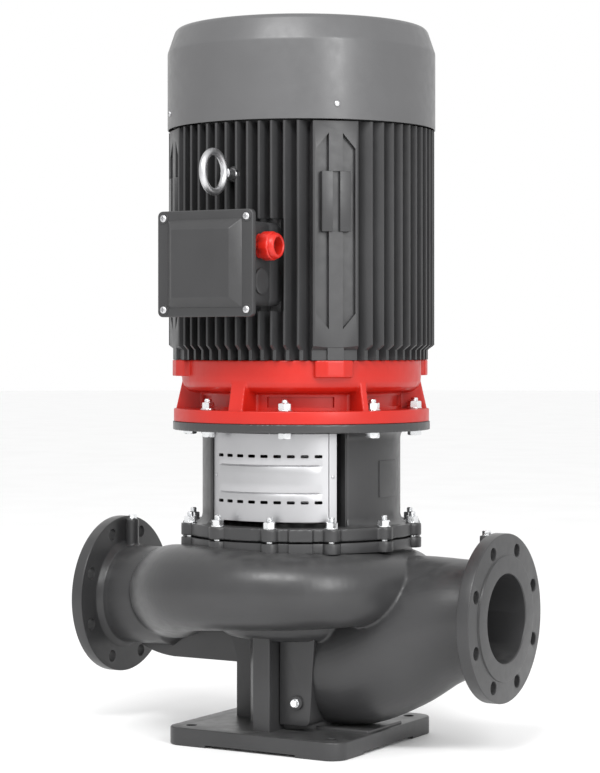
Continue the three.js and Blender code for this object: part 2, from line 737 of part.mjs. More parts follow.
function motorFrame() {
  const low = SHIELD_TOP + GAP;
  const { reach } = PAD;
  const finned = prism(finnedOutline(FRAME.tipRadius), low, FRAME_TOP);
  // Below the taper the fins and pads draw in to meet the shield's bowl.
  const envelope = turned([
    [0, low - 5],
    [FRAME.footTipRadius, low - 5],
    [FRAME.footTipRadius, FRAME.taperLow],
    [FRAME.tipRadius + 2, FRAME.taperHigh],
    [FRAME.tipRadius + 2, FRAME_TOP + 5],
    [0, FRAME_TOP + 5],
  ]);
  const pockets = padPocket().flatMap((pocket) => around(4, 45, () => pocket.clone()));
  const pocketed = cut(overlap(finned, envelope), ...pockets);
  const body = join(
    pocketed,
    ...around(4, 45, () => block(-14, 14, -reach + 1, -200, low, PAD.low + 5)),
    ...around(4, 45, () => block(-25, 25, -reach - 4, -205, 883, 984)),
    ...around(2, 0, () => facingFront(disc(EYE.seatRadius, 190, EYE.seat, HOLE_ROUND)).translate(0, 0, EYE.height)),
  );
  const seated = join(
    cut(body, block(-SADDLE.halfWidth, SADDLE.halfWidth, -250, -SADDLE.depth, SADDLE.low, SADDLE.high)),
    block(-BOX.halfWidth, BOX.halfWidth, -BOX.back + GAP, -190, BOX.low, BOX.high),
  );
  return cut(
    seated,
    ...around(2, 0, () => facingFront(disc(EYE.seatRadius, EYE.seat, 250, HOLE_ROUND)).translate(0, 0, EYE.height)),
    disc(FRAME.bore, low - 5, FRAME_TOP + 5),
    ...around(4, 45, () => block(-6.5, 6.5, -reach - 6, -reach + 4, 883, 984)),
    ...around(2, 0, () => {
      const hole = disc(EYE.shankRadius + GAP, EYE.seat - 22, EYE.seat + 5, HOLE_ROUND);
      return facingFront(hole).translate(0, 0, EYE.height);
    }),
  );
}

function upperEndShield() {
  const low = FRAME_TOP + GAP;
  const plate = turned([
    [200, low],
    [200, low + 12],
    [76, low + 18],
    [76, BEARING_HIGH.high + 6],
    [45, BEARING_HIGH.high + 6],
    [45, BEARING_HIGH.high + GAP],
    [BEARING_HIGH.outer + GAP, BEARING_HIGH.high + GAP],
    [BEARING_HIGH.outer + GAP, low],
  ]);
  const cowlLugs = around(4, 45, () => block(-12, 12, -COWL.radius + COWL.sheet + 4.5, -190, low + 3, 1106));
  return join(plate, ...cowlLugs);
}

function fanCowl() {
  const { radius, sheet, rimRadius, topRadius } = COWL;
  const shell = turned([
    [0, COWL_TOP],
    [topRadius, COWL_TOP],
    [rimRadius, COWL_TOP - 5],
    [radius, COWL_SHOULDER],
    [radius, COWL_LOW],
    [radius - sheet, COWL_LOW],
    [radius - sheet, COWL_SHOULDER - 0.4],
    [rimRadius - sheet, COWL_TOP - 6],
    [topRadius - 1, COWL_TOP - sheet],
    [0, COWL_TOP - sheet],
  ]);
  const slots = GRILLE.flatMap(({ count, from, to, halfWidth }) => {
    return around(count, 0, () => block(-halfWidth, halfWidth, -to, -from, COWL_TOP - 10, COWL_TOP + 5));
  });
  return cut(shell, ...slots);
}

// ---------- Motor internals ----------

function motorShaft() {
  const { motor, bearing, core, fan } = SHAFT;
  return turned([
    [0, SHAFT_JOINT + 2],
    [motor, SHAFT_JOINT + 2],
    [motor, 590],
    [bearing, 590],
    [bearing, BEARING_LOW.high + GAP],
    [core, BEARING_LOW.high + GAP],
    [core, BEARING_HIGH.low - GAP],
    [bearing, BEARING_HIGH.low - GAP],
    [bearing, BEARING_HIGH.high + 2],
    [fan, BEARING_HIGH.high + 2],
    [fan, FAN.high + 6],
    [0, FAN.high + 6],
  ], SMALL_ROUND);
}

function race(inner, outer, { low, high }) {
  return ring(inner, outer, low + GAP, high);
}

function rotorCore() {
  const { inner, low, high } = STATOR;
  const airGap = 1.5;
  return join(
    ring(SHAFT.core + 0.5, inner - airGap, low, high),
    ring(80, 112, low - 15, low + 1, SMALL_ROUND),
    ring(80, 112, high - 1, high + 15, SMALL_ROUND),
  );
}

// The overhang of the coils at one end of the stator, from the core outwards.
function windingEnd(core, direction) {
  const near = core + direction * GAP;
  return turned([
    [128, near],
    [168, near],
    [168, core + direction * 34],
    [158, core + direction * 44],
    [128, core + direction * 44],
  ]);
}

function coolingFan() {
  const { low, high, radius, blades } = FAN;
  const bladeRing = around(blades, 0, () => block(-2, 2, -radius + 5, -38, low + 2, high));
  return join(
    ring(SHAFT.fan + GAP, 42, low, high - 4, SMALL_ROUND),
    ring(40, radius, low, low + 4),
    ...bladeRing,
  );
}

// ---------- Shaft line of the pump ----------

function pumpShaft() {
  const { pump, impeller: bore, thread } = SHAFT;
  return turned([
    [0, 215],
    [thread, 215],
    [thread, 240],
    [bore, 240],
    [bore, IMPELLER.hubTop + GAP],
    [pump, IMPELLER.hubTop + GAP],
    [pump, SHAFT_JOINT - 3],
    [0, SHAFT_JOINT - 3],
  ], SMALL_ROUND);
}

function shaftCoupling() {
  return turned([
    [SHAFT.pump + GAP, SHAFT_JOINT - 58],
    [44, SHAFT_JOINT - 58],
    [52, SHAFT_JOINT - 50],
    [52, SHAFT_JOINT + 54],
    [44, SHAFT_JOINT + 62],
    [SHAFT.motor + GAP, SHAFT_JOINT + 62],
    [SHAFT.motor + GAP, SHAFT_JOINT],
    [SHAFT.pump + GAP, SHAFT_JOINT],
  ], SMALL_ROUND);
}

function impellerNut() {
  return cut(hexagon(38, 204, 240 - GAP), disc(SHAFT.thread + GAP, 215 - GAP, 260, SMALL_ROUND));
}

function sealBellows() {
  const bore = SHAFT.pump + GAP;
  const low = IMPELLER.hubTop + 1;
  return turned([
    [bore, low],
    [30, low],
    [27, low + 5],
    [30, low + 10],
    [27, low + 15],
    [30, low + 19],
    [bore, low + 19],
  ], SMALL_ROUND);
}

// ---------- Terminal box and fittings ----------

function cableEntry(radius, height, from, to, facets = SMALL_ROUND) {
  return facingSuction(disc(radius, from, to, facets)).translate(0, -CABLE_ENTRY.depth, height);
}

function terminalBox() {
  const { halfWidth, low, high, back, front, wall } = BOX;
  return cut(
    block(-halfWidth, halfWidth, -front, -back, low, high),
    block(wall - halfWidth, halfWidth - wall, -front - 5, -back - wall, low + wall, high - wall),
    cableEntry(CABLE_ENTRY.holeRadius, GLAND.height, halfWidth - 10, halfWidth + 5),
    cableEntry(CABLE_ENTRY.holeRadius, BLANK.height, halfWidth - 10, halfWidth + 5),
  );
}

function terminalBoxCover() {
  const { halfWidth, halfHeight, middle, corner, back, front } = BOX_COVER;
  const { half, bevel, rise } = COVER_PANEL;
  const plate = facingFront(prism(roundedRectangle(halfWidth, halfHeight, corner), back, front, 2));
  // A square frustum whose small end faces the front, sunk a little into the plate.
  const panel = new THREE.CylinderGeometry((half - bevel) * Math.SQRT2, half * Math.SQRT2, rise + 1, 4)
    .rotateY(Math.PI / 4)
    .rotateX(Math.PI)
    .translate(0, -front - (rise - 1) / 2, 0);
  return join(plate, panel).translate(0, 0, middle);
}

function terminalBoard() {
  const { back, wall } = BOX;
  const seat = back + wall + GAP;
  const studs = [];
  for (const x of [-24, 0, 24]) {
    for (const z of [-14, 14]) studs.push(facingFront(disc(3, seat + 10, seat + 30, 8)).translate(x, 0, z));
  }
  return join(block(-38, 38, -seat - 14, -seat, -28, 28), ...studs).translate(0, 0, BOX_COVER.middle);
}

function glandBody() {
  const outside = BOX.halfWidth + GAP;
  const at = (radius, from, to, facets) => cableEntry(radius, GLAND.height, from, to, facets);
  const body = join(
    at(GLAND.collarRadius, outside, GLAND.nutLow - GAP, 6),
    at(CABLE_ENTRY.holeRadius - GAP - 0.2, outside - 12, outside + 2),
  );
  return cut(body, at(11, outside - 20, GLAND.end));
}

function glandNut() {
  const { nutRadius, passage, nutLow, end, height } = GLAND;
  const section = [
    [passage, nutLow],
    [nutRadius, nutLow],
    [nutRadius, end - 5],
    [nutRadius - 5, end],
    [passage, end],
  ];
  return facingSuction(turned(section, SMALL_ROUND)).translate(0, -CABLE_ENTRY.depth, height);
}

function blankingPlug() {
  const outside = BOX.halfWidth + GAP;
  return join(
    cableEntry(BLANK.radius, BLANK.height, outside, outside + BLANK.thickness),
    cableEntry(CABLE_ENTRY.holeRadius - GAP - 0.2, BLANK.height, outside - 8, outside + 1),
  );
}

function liftingEye() {
  const { height, reach, ringRadius, wireRadius, shankRadius, seat, collar } = EYE;
  const loop = new THREE.TorusGeometry(ringRadius, wireRadius, 6, 16).rotateY(Math.PI / 2);
  const low = seat - 20;
  return join(
    loop.translate(0, -reach, height),
    facingFront(disc(shankRadius, low, reach - ringRadius, HOLE_ROUND)).translate(0, 0, height),
    facingFront(disc(collar, seat + GAP, seat + 8, HOLE_ROUND)).translate(0, 0, height),
  );
}

// A hexagon-headed plug screwed into a vertical hole at the origin of its own frame.
function screwPlug(shankRadius, shankLength, headAcross, headHeight) {
  return join(disc(shankRadius, -shankLength, 1, HOLE_ROUND), hexagon(headAcross, GAP, headHeight));
}

// A stud through both clamp flanges with its nut, at the front.
function casingStud() {
  const { radius, circle, nutAcross } = CASING_STUDS;
  const stud = join(
    disc(radius, CASING_FLANGE_LOW + 3 + GAP, LANTERN_FLANGE_TOP + 20, HOLE_ROUND),
    hexagon(nutAcross, LANTERN_FLANGE_TOP + GAP, LANTERN_FLANGE_TOP + 12),
  );
  return stud.translate(0, -circle, 0);
}

// A bolt up through the lantern's head and the shield's flange, with its nut, at the front.
function motorBolt() {
  const { radius, circle, nutAcross } = MOTOR_BOLTS;
  const bolt = join(
    hexagon(nutAcross, LANTERN_HEAD_LOW - 10, LANTERN_HEAD_LOW - GAP),
    disc(radius, LANTERN_HEAD_LOW - 2, SHIELD_FLANGE_TOP + 19, HOLE_ROUND),
    hexagon(nutAcross, SHIELD_FLANGE_TOP + GAP, SHIELD_FLANGE_TOP + 13),
  );
  return bolt.translate(0, -circle, 0);
}

// ---------- Assembly ----------

const pump = new THREE.Group();

function section(parent = pump) {
  const group = new THREE.Group();
  parent.add(group);
  return group;
}

function add(parent, name, geometry, finish) {
  const mesh = new THREE.Mesh(geometry, new THREE.MeshStandardMaterial(finish));
  mesh.name = name;
  parent.add(mesh);
  return mesh;
}

function addAround(parent, pattern, nameOf, make, finish) {
  for (let index = 0; index < pattern.count; index += 1) {
    const mesh = add(parent, nameOf(index + 1), make(), finish);
    mesh.rotation.z = radians(pattern.start + (index * 360) / pattern.count);
  }
}

const wetEnd = section();
add(wetEnd, 'pump_casing', pumpCasing(), DARK_PAINT);
add(wetEnd, 'wear_ring', ring(WEAR_RING.inner, WEAR_RING.outer, WEAR_RING.low, WEAR_RING.high), BRONZE);
add(wetEnd, 'casing_cover', casingCover(), CAST_IRON);
const gasket = ring(SPIGOT_RADIUS + 1, 189, CASING_FLANGE_TOP + GAP, LANTERN_LOW - GAP);
add(wetEnd, 'casing_gasket', gasket, RUBBER);
add(wetEnd, 'seal_seat', ring(SHAFT.pump + 2, 36, SEAL_FACE + GAP, SEAL_FACE + 10.7), CERAMIC);
addAround(wetEnd, CASING_STUDS, (number) => `casing_stud_${String(number).padStart(2, '0')}`, casingStud, ZINC);
for (const [name, turn] of [['suction_gauge_plug', 0], ['discharge_gauge_plug', Math.PI]]) {
  const plug = add(wetEnd, name, screwPlug(GAUGE_BOSS.holeRadius - GAP, 12, 13, 7), ZINC);
  plug.position.set(GAUGE_BOSS.at * Math.cos(turn), 0, GAUGE_BOSS.top);
}
const drainPlug = add(wetEnd, 'drain_plug', screwPlug(DRAIN.holeRadius - GAP, 14, 12, 7), ZINC);
drainPlug.position.set(DRAIN.x, DRAIN.y, DRAIN.z);
drainPlug.rotation.x = Math.PI / 2;

const stool = section();
add(stool, 'lantern', lantern(), DARK_PAINT);
add(stool, 'coupling_guard_front', couplingGuard(), STAINLESS);
add(stool, 'coupling_guard_rear', couplingGuard(), STAINLESS).rotation.z = Math.PI;

const motor = section();
add(motor, 'drive_end_shield', driveEndShield(), RED_PAINT);
add(motor, 'motor_frame', motorFrame(), FRAME_PAINT);
add(motor, 'upper_end_shield', upperEndShield(), FRAME_PAINT);
add(motor, 'fan_cowl', fanCowl(), COWL_PAINT);
add(motor, 'stator_core', ring(STATOR.inner, STATOR.outer, STATOR.low, STATOR.high), LAMINATION);
add(motor, 'stator_winding_lower', windingEnd(STATOR.low, -1), COPPER);
add(motor, 'stator_winding_upper', windingEnd(STATOR.high, 1), COPPER);
add(motor, 'lower_bearing_outer_race', race(58, BEARING_LOW.outer, BEARING_LOW), STEEL);
add(motor, 'upper_bearing_outer_race', race(50, BEARING_HIGH.outer, BEARING_HIGH), STEEL);
addAround(motor, MOTOR_BOLTS, (number) => `motor_bolt_${number}`, motorBolt, ZINC);
add(motor, 'lifting_eye_front', liftingEye(), ZINC);
add(motor, 'lifting_eye_rear', liftingEye(), ZINC).rotation.z = Math.PI;

const terminals = section(motor);
add(terminals, 'terminal_box', terminalBox(), FRAME_PAINT);
add(terminals, 'terminal_box_cover', terminalBoxCover(), FRAME_PAINT);
add(terminals, 'terminal_board', terminalBoard(), BLACK_PLASTIC);
add(terminals, 'cable_gland', glandBody(), RED_PLASTIC);
add(terminals, 'cable_gland_nut', glandNut(), RED_PLASTIC);
add(terminals, 'blanking_plug', blankingPlug(), FRAME_PAINT);

// Everything in this group turns together about the Z axis.
const rotor = section();
const raceBore = SHAFT.bearing + 0.5;
add(rotor, 'motor_shaft', motorShaft(), STEEL);
add(rotor, 'rotor_core', rotorCore(), LAMINATION);
add(rotor, 'cooling_fan', coolingFan(), BLACK_PLASTIC);
add(rotor, 'lower_bearing_inner_race', race(raceBore, 42, BEARING_LOW), STEEL);
add(rotor, 'upper_bearing_inner_race', race(raceBore, 42, BEARING_HIGH), STEEL);
add(rotor, 'shaft_coupling', shaftCoupling(), STEEL);
add(rotor, 'pump_shaft', pumpShaft(), STEEL);
add(rotor, 'impeller', impeller(), BRONZE);
add(rotor, 'impeller_nut', impellerNut(), STEEL);
add(rotor, 'seal_bellows', sealBellows(), RUBBER);
add(rotor, 'seal_rotating_ring', ring(SHAFT.pump + GAP, 33, SEAL_FACE - 12, SEAL_FACE - GAP, SMALL_ROUND), CERAMIC);

export default pump;
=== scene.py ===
"""The visual model of a vertical in-line pump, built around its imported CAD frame.

Lengths in the shape functions are millimetres; meshes are made in metres. A heading is an angle about the
pump's upright axis: 0 is the front (-Y), 90 is the suction side (+X).
"""
import json
import math

import bmesh
import bpy
import numpy as np
from mathutils import Matrix, Vector

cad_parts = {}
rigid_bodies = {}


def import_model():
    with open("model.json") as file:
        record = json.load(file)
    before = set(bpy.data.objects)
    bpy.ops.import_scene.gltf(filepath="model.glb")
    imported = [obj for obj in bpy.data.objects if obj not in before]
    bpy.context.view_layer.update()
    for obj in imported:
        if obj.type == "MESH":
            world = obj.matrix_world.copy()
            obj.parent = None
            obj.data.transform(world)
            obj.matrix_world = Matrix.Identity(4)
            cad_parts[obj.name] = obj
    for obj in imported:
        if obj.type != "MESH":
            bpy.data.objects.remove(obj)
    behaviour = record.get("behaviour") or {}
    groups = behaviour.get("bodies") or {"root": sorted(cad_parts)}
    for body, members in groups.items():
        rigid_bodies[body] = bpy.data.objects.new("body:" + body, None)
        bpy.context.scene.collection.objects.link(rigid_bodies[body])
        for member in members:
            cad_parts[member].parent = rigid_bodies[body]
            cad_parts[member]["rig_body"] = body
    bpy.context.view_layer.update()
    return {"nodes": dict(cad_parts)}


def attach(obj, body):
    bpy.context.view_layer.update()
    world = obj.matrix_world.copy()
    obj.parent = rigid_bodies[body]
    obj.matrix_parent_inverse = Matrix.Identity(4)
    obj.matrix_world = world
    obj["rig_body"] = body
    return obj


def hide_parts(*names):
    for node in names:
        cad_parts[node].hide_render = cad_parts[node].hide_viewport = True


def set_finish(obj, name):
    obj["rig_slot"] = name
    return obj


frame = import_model()

MM = 0.001
DEG = math.pi / 180

# ---------- Sizes, as in the CAD source ----------

NOZZLE_HEIGHT = 235
FLANGE_FACE = 400
FLANGE_BACK = 375
FLANGE_RADIUS = 142.5
RAISED_FACE = 106
PIPE_BORE = 75
NECK_RADIUS = 89
NECK_START = 262
SUCTION_BORE_START = 304
DISCHARGE_BORE_START = 268
PIPE_BOLT_CIRCLE = 120
PIPE_HOLE = 11

FOOT_HALF = 175
FOOT_TOP = 31
PEDESTAL_RADIUS = 90
WALL = 11

CLAMP_LOW = 342
CLAMP_TOP = 360
LANTERN_LOW = 363
LANTERN_FOOT_TOP = 384
HEAD_LOW = 546
LANTERN_TOP = 560.6
SHIELD_LOW = 560.9
SHIELD_FLANGE_TOP = 582.5
SHIELD_TOP = 668
FRAME_LOW = 668.3
FRAME_TOP = 1068
COWL_LOW = 1070.6
COWL_SHOULDER = 1205
COWL_TOP = 1248

STUD_COUNT = 12
STUD_START = 15
STUD_CIRCLE = 200
BOLT_COUNT = 8
BOLT_START = 22.5
WINDOW = (-33, 56.5)
GUARD_RADIUS = 174
EYE_HEIGHT = 981
COVER_MIDDLE = 828
GLAND_HEIGHT = 857
BLANK_HEIGHT = 799
ENTRY_DEPTH = 260
BOX_MIDDLE = 828.5
LID_SCREWS = [(x, z) for x in (-81, 81) for z in (-76, 76)]  # from the lid's middle

CHAMBER_RADIUS = 162
SPIGOT_RADIUS = 180
GAUGE_AT = 362
GAUGE_LOW = 358
GAUGE_TOP = 373
DRAIN_X = 54.5
DRAIN_DEPTH = 113
DRAIN_HEIGHT = 81
TAPPING_RADIUS = 5.3

BLOCK_LOW = 883  # the rib blocks on the frame's corner pads
BLOCK_HIGH = 984
EYE_SEAT = 226
COWL_SCREW_HEIGHT = 1096
GUARD_SCREW_HEIGHT = 470
GUARD_SCREW_HEADINGS = (-29, 48.8, 151, 228.8)

# ---------- Mesh helpers ----------


def solid(name, corners, faces):
    """A closed mesh object from corner points in millimetres, with its faces turned outwards."""
    mesh = bpy.data.meshes.new(name)
    mesh.from_pydata([Vector(c) * MM for c in corners], [], faces)
    shape = bmesh.new()
    shape.from_mesh(mesh)
    bmesh.ops.remove_doubles(shape, verts=shape.verts, dist=1e-7)
    bmesh.ops.dissolve_degenerate(shape, edges=shape.edges, dist=1e-7)
    bmesh.ops.recalc_face_normals(shape, faces=shape.faces)
    shape.to_mesh(mesh)
    shape.free()
    piece = bpy.data.objects.new(name, mesh)
    bpy.context.scene.collection.objects.link(piece)
    return piece


def settle(piece):
    """Applies every modifier."""
    graph = bpy.context.evaluated_depsgraph_get()
    mesh = bpy.data.meshes.new_from_object(piece.evaluated_get(graph))
    old = piece.data
    piece.modifiers.clear()
    piece.data = mesh
    bpy.data.meshes.remove(old)
    return piece


def discard(pieces):
    for piece in pieces:
        mesh = piece.data
        bpy.data.objects.remove(piece, do_unlink=True)
        if mesh.users == 0:
            bpy.data.meshes.remove(mesh)


def combine(piece, operation, tools):
    """Joins, cuts or intersects piece with tools, which are used up."""
    for tool in tools:
        step = piece.modifiers.new(operation.lower(), "BOOLEAN")
        step.object = tool
        step.operation = operation
        step.solver = "MANIFOLD"
    settle(piece)
    discard(tools)
    return piece


def union(piece, *tools):
    return combine(piece, "UNION", tools)


def cut(piece, *tools):
    return combine(piece, "DIFFERENCE", tools)


def overlap(piece, *tools):
    return combine(piece, "INTERSECT", tools)


def gather(pieces):
    """One object with the meshes of several, which are used up."""
    shape = bmesh.new()
    for piece in pieces:
        shape.from_mesh(piece.data)
    mesh = bpy.data.meshes.new("gathered")
    shape.to_mesh(mesh)
    shape.free()
    whole = bpy.data.objects.new("gathered", mesh)
    bpy.context.scene.collection.objects.link(whole)
    discard(pieces)
    return whole


def cast(piece, voxel, rounds):
    """One cast skin over overlapping shells, with every inner and outer corner rounded."""
    skin = piece.modifiers.new("skin", "REMESH")
    skin.mode = "VOXEL"
    skin.voxel_size = voxel * MM
    fillets = piece.modifiers.new("fillets", "SMOOTH")
    fillets.factor = 0.5
    fillets.iterations = rounds
    return settle(piece)


def bevel(piece, width, segments=2, angle=40):
    edge = piece.modifiers.new("edges", "BEVEL")
    edge.width = width * MM
    edge.segments = segments
    edge.limit_method = "ANGLE"
    edge.angle_limit = angle * DEG
    edge.use_clamp_overlap = True
    return settle(piece)


def moved(piece, matrix):
    piece.data.transform(matrix)
    return piece


def shifted(piece, x=0.0, y=0.0, z=0.0):
    return moved(piece, Matrix.Translation(Vector((x, y, z)) * MM))


def turned_to(piece, heading):
    return moved(piece, Matrix.Rotation(heading * DEG, 4, "Z"))


def facing_front(piece):
    """Lays an upright piece over so that its axis points to the front."""
    return moved(piece, Matrix.Rotation(math.pi / 2, 4, "X"))


def facing_suction(piece):
    """Lays an upright piece over so that its axis points to +X."""
    return moved(piece, Matrix.Rotation(math.pi / 2, 4, "Y"))


def around(count, start, make):
    """Pieces made at the front, spread evenly about the pump's axis."""
    return [turned_to(make(i), start + i * 360 / count) for i in range(count)]


def at_heading(heading, radius):
    return radius * math.sin(heading * DEG), -radius * math.cos(heading * DEG)


def softened(points, radius, steps=3, closed=True):
    """A polygon with each corner rounded to about radius; corners on the axis stay."""
    rounded = []
    count = len(points)
    for i, point in enumerate(points):
        corner = np.array(point, float)
        before = np.array(points[i - 1], float) - corner
        after = np.array(points[(i + 1) % count], float) - corner
        ends = not closed and i in (0, count - 1)
        lengths = np.linalg.norm(before), np.linalg.norm(after)
        if ends or min(lengths) < 1e-6:
            rounded.append(tuple(corner))
            continue
        straight = abs(before @ after / (lengths[0] * lengths[1]) + 1) < 0.004
        if straight or abs(corner[0]) < 1e-9:
            rounded.append(tuple(corner))
            continue
        reach = min(radius, 0.45 * lengths[0], 0.45 * lengths[1])
        start = corner + before / lengths[0] * reach
        end = corner + after / lengths[1] * reach
        for k in range(steps + 1):
            t = k / steps
            rounded.append(tuple((1 - t) ** 2 * start + 2 * t * (1 - t) * corner + t * t * end))
    return rounded


def lathe(profile, sides=96, name="turned"):
    """A closed profile of (radius, height) corners turned about the upright axis."""
    profile = np.array(profile, float)
    angles = np.arange(sides) * (2 * math.pi / sides)
    corners = [
        (r * math.sin(a), -r * math.cos(a), z) for a in angles for r, z in profile
    ]
    rows = len(profile)
    faces = []
    for i in range(sides):
        here, there = i * rows, ((i + 1) % sides) * rows
        for j in range(rows):
            k = (j + 1) % rows
            if profile[j][0] < 1e-9 and profile[k][0] < 1e-9:
                continue
            faces.append((here + j, here + k, there + k, there + j))
    return solid(name, corners, faces)


def disc(radius, low, high, sides=64, edge=0.0):
    profile = [(0, low), (radius, low), (radius, high), (0, high)]
    return lathe(softened(profile, edge) if edge else profile, sides)


def tube(inner, outer, low, high, sides=96, edge=0.0):
    profile = [(inner, low), (outer, low), (outer, high), (inner, high)]
    return lathe(softened(profile, edge) if edge else profile, sides)


def prism(outline, low, high, edge=0.0, steps=2):
    """An upright prism of a plan outline, its top and bottom rims bevelled by edge."""
    count = len(outline)
    corners = [(x, y, low) for x, y in outline] + [(x, y, high) for x, y in outline]
    faces = [tuple(range(count)), tuple(range(2 * count - 1, count - 1, -1))]
    faces += [(i, (i + 1) % count, count + (i + 1) % count, count + i) for i in range(count)]
    piece = solid("prism", corners, faces)
    if edge:
        shape = bmesh.new()
        shape.from_mesh(piece.data)
        rim = [e for e in shape.edges if abs(e.verts[0].co.z - e.verts[1].co.z) < 1e-9]
        bmesh.ops.bevel(
            shape, geom=rim, offset=edge * MM, segments=steps, profile=0.5,
            affect="EDGES", clamp_overlap=True,
        )
        shape.to_mesh(piece.data)
        shape.free()
    return piece


def block(x0, x1, y0, y1, z0, z1, edge=0.0):
    piece = prism([(x0, y0), (x1, y0), (x1, y1), (x0, y1)], z0, z1)
    return bevel(piece, edge) if edge else piece


def rounded_rectangle(half_x, half_y, corner, steps=8):
    points = []
    for centre_x, centre_y, start in (
        (half_x - corner, half_y - corner, 0),
        (corner - half_x, half_y - corner, 90),
        (corner - half_x, corner - half_y, 180),
        (half_x - corner, corner - half_y, 270),
    ):
        for k in range(steps + 1):
            angle = (start + 90 * k / steps) * DEG
            points.append((centre_x + corner * math.cos(angle), centre_y + corner * math.sin(angle)))
    return points


def arc(radius, start, end, steps):
    return [at_heading(start + (end - start) * k / steps, radius) for k in range(steps + 1)]


def smooth_path(stations, steps):
    """Points (x, y, z, radius) along a centripetal spline through the stations."""
    p = [np.array(s, float) for s in stations]
    p = [2 * p[0] - p[1], *p, 2 * p[-1] - p[-2]]
    spans = len(stations) - 1
    rows = []
    for k in range(steps + 1):
        along = k / steps * spans
        i = min(int(along), spans - 1)
        t = along - i
        q = p[i:i + 4]
        knots = [0.0]
        for a, b in zip(q, q[1:]):
            knots.append(knots[-1] + max(np.linalg.norm(b[:3] - a[:3]), 1e-4) ** 0.5)
        s = knots[1] + t * (knots[2] - knots[1])
        line = [
            ((knots[j + 1] - s) * q[j] + (s - knots[j]) * q[j + 1]) / (knots[j + 1] - knots[j])
            for j in range(3)
        ]
        bend = [
            ((knots[j + 2] - s) * line[j] + (s - knots[j]) * line[j + 1]) / (knots[j + 2] - knots[j])
            for j in range(2)
        ]
        rows.append(((knots[2] - s) * bend[0] + (s - knots[1]) * bend[1]) / (knots[2] - knots[1]))
    return np.array(rows)


def sweep(stations, steps, sides, across):
    """A closed limb of changing round section through stations (x, y, z, radius)."""
    rows = smooth_path(stations, steps)
    places = rows[:, :3]
    tangents = np.gradient(places, axis=0)
    corners = []
    for place, tangent, radius in zip(places, tangents, rows[:, 3]):
        side = np.cross(across, tangent)
        side /= np.linalg.norm(side)
        up = np.cross(tangent, side)
        up /= np.linalg.norm(up)
        for k in range(sides):
            angle = 2 * math.pi * k / sides
            corners.append(place + radius * (math.cos(angle) * side + math.sin(angle) * up))
    faces = [tuple(range(sides)), tuple(range(steps * sides, (steps + 1) * sides))]
    for i in range(steps):
        for k in range(sides):
            n = (k + 1) % sides
            faces.append((i * sides + k, i * sides + n, (i + 1) * sides + n, (i + 1) * sides + k))
    return solid("limb", corners, faces)


def shaded(piece, angle=35):
    """Smooth shading that stays crisp at edges sharper than angle."""
    piece.data.polygons.foreach_set("use_smooth", [True] * len(piece.data.polygons))
    piece.data.set_sharp_from_angle(angle=angle * DEG)
    return piece


def finished(piece, name, slot, *nodes, material=None):
    """Names a piece, gives it its slot's finish or another material, and rides it on the pump."""
    piece.name = name
    piece.data.name = name
    shaded(piece)
    piece.data.materials.clear()
    piece.data.materials.append(material or MATERIALS[slot])
    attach(piece, "pump")
    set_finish(piece, slot)
    if nodes:
        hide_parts(*nodes)
    return piece


def copied(source, name, node=None, matrix=None):
    """Another piece with the same mesh, placed by matrix."""
    piece = bpy.data.objects.new(name, source.data)
    bpy.context.scene.collection.objects.link(piece)
    piece.matrix_world = matrix or Matrix.Identity(4)
    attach(piece, source["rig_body"])
    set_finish(piece, source["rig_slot"])
    if node:
        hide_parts(node)
    return piece


def repeated(piece, name, node, slot, places, material=None):
    """The piece at the first place and a copy at each other; name and node take the number."""
    for number, place in enumerate(places, 1):
        nodes = [node.format(number)] if node else []
        if number == 1:
            finished(piece, name.format(number), slot, *nodes, material=material)
            piece.matrix_world = place
        else:
            copied(piece, name.format(number), *nodes, matrix=place)
    return piece


def turns(count, start):
    return [Matrix.Rotation((start + i * 360 / count) * DEG, 4, "Z") for i in range(count)]


# ---------- Materials ----------


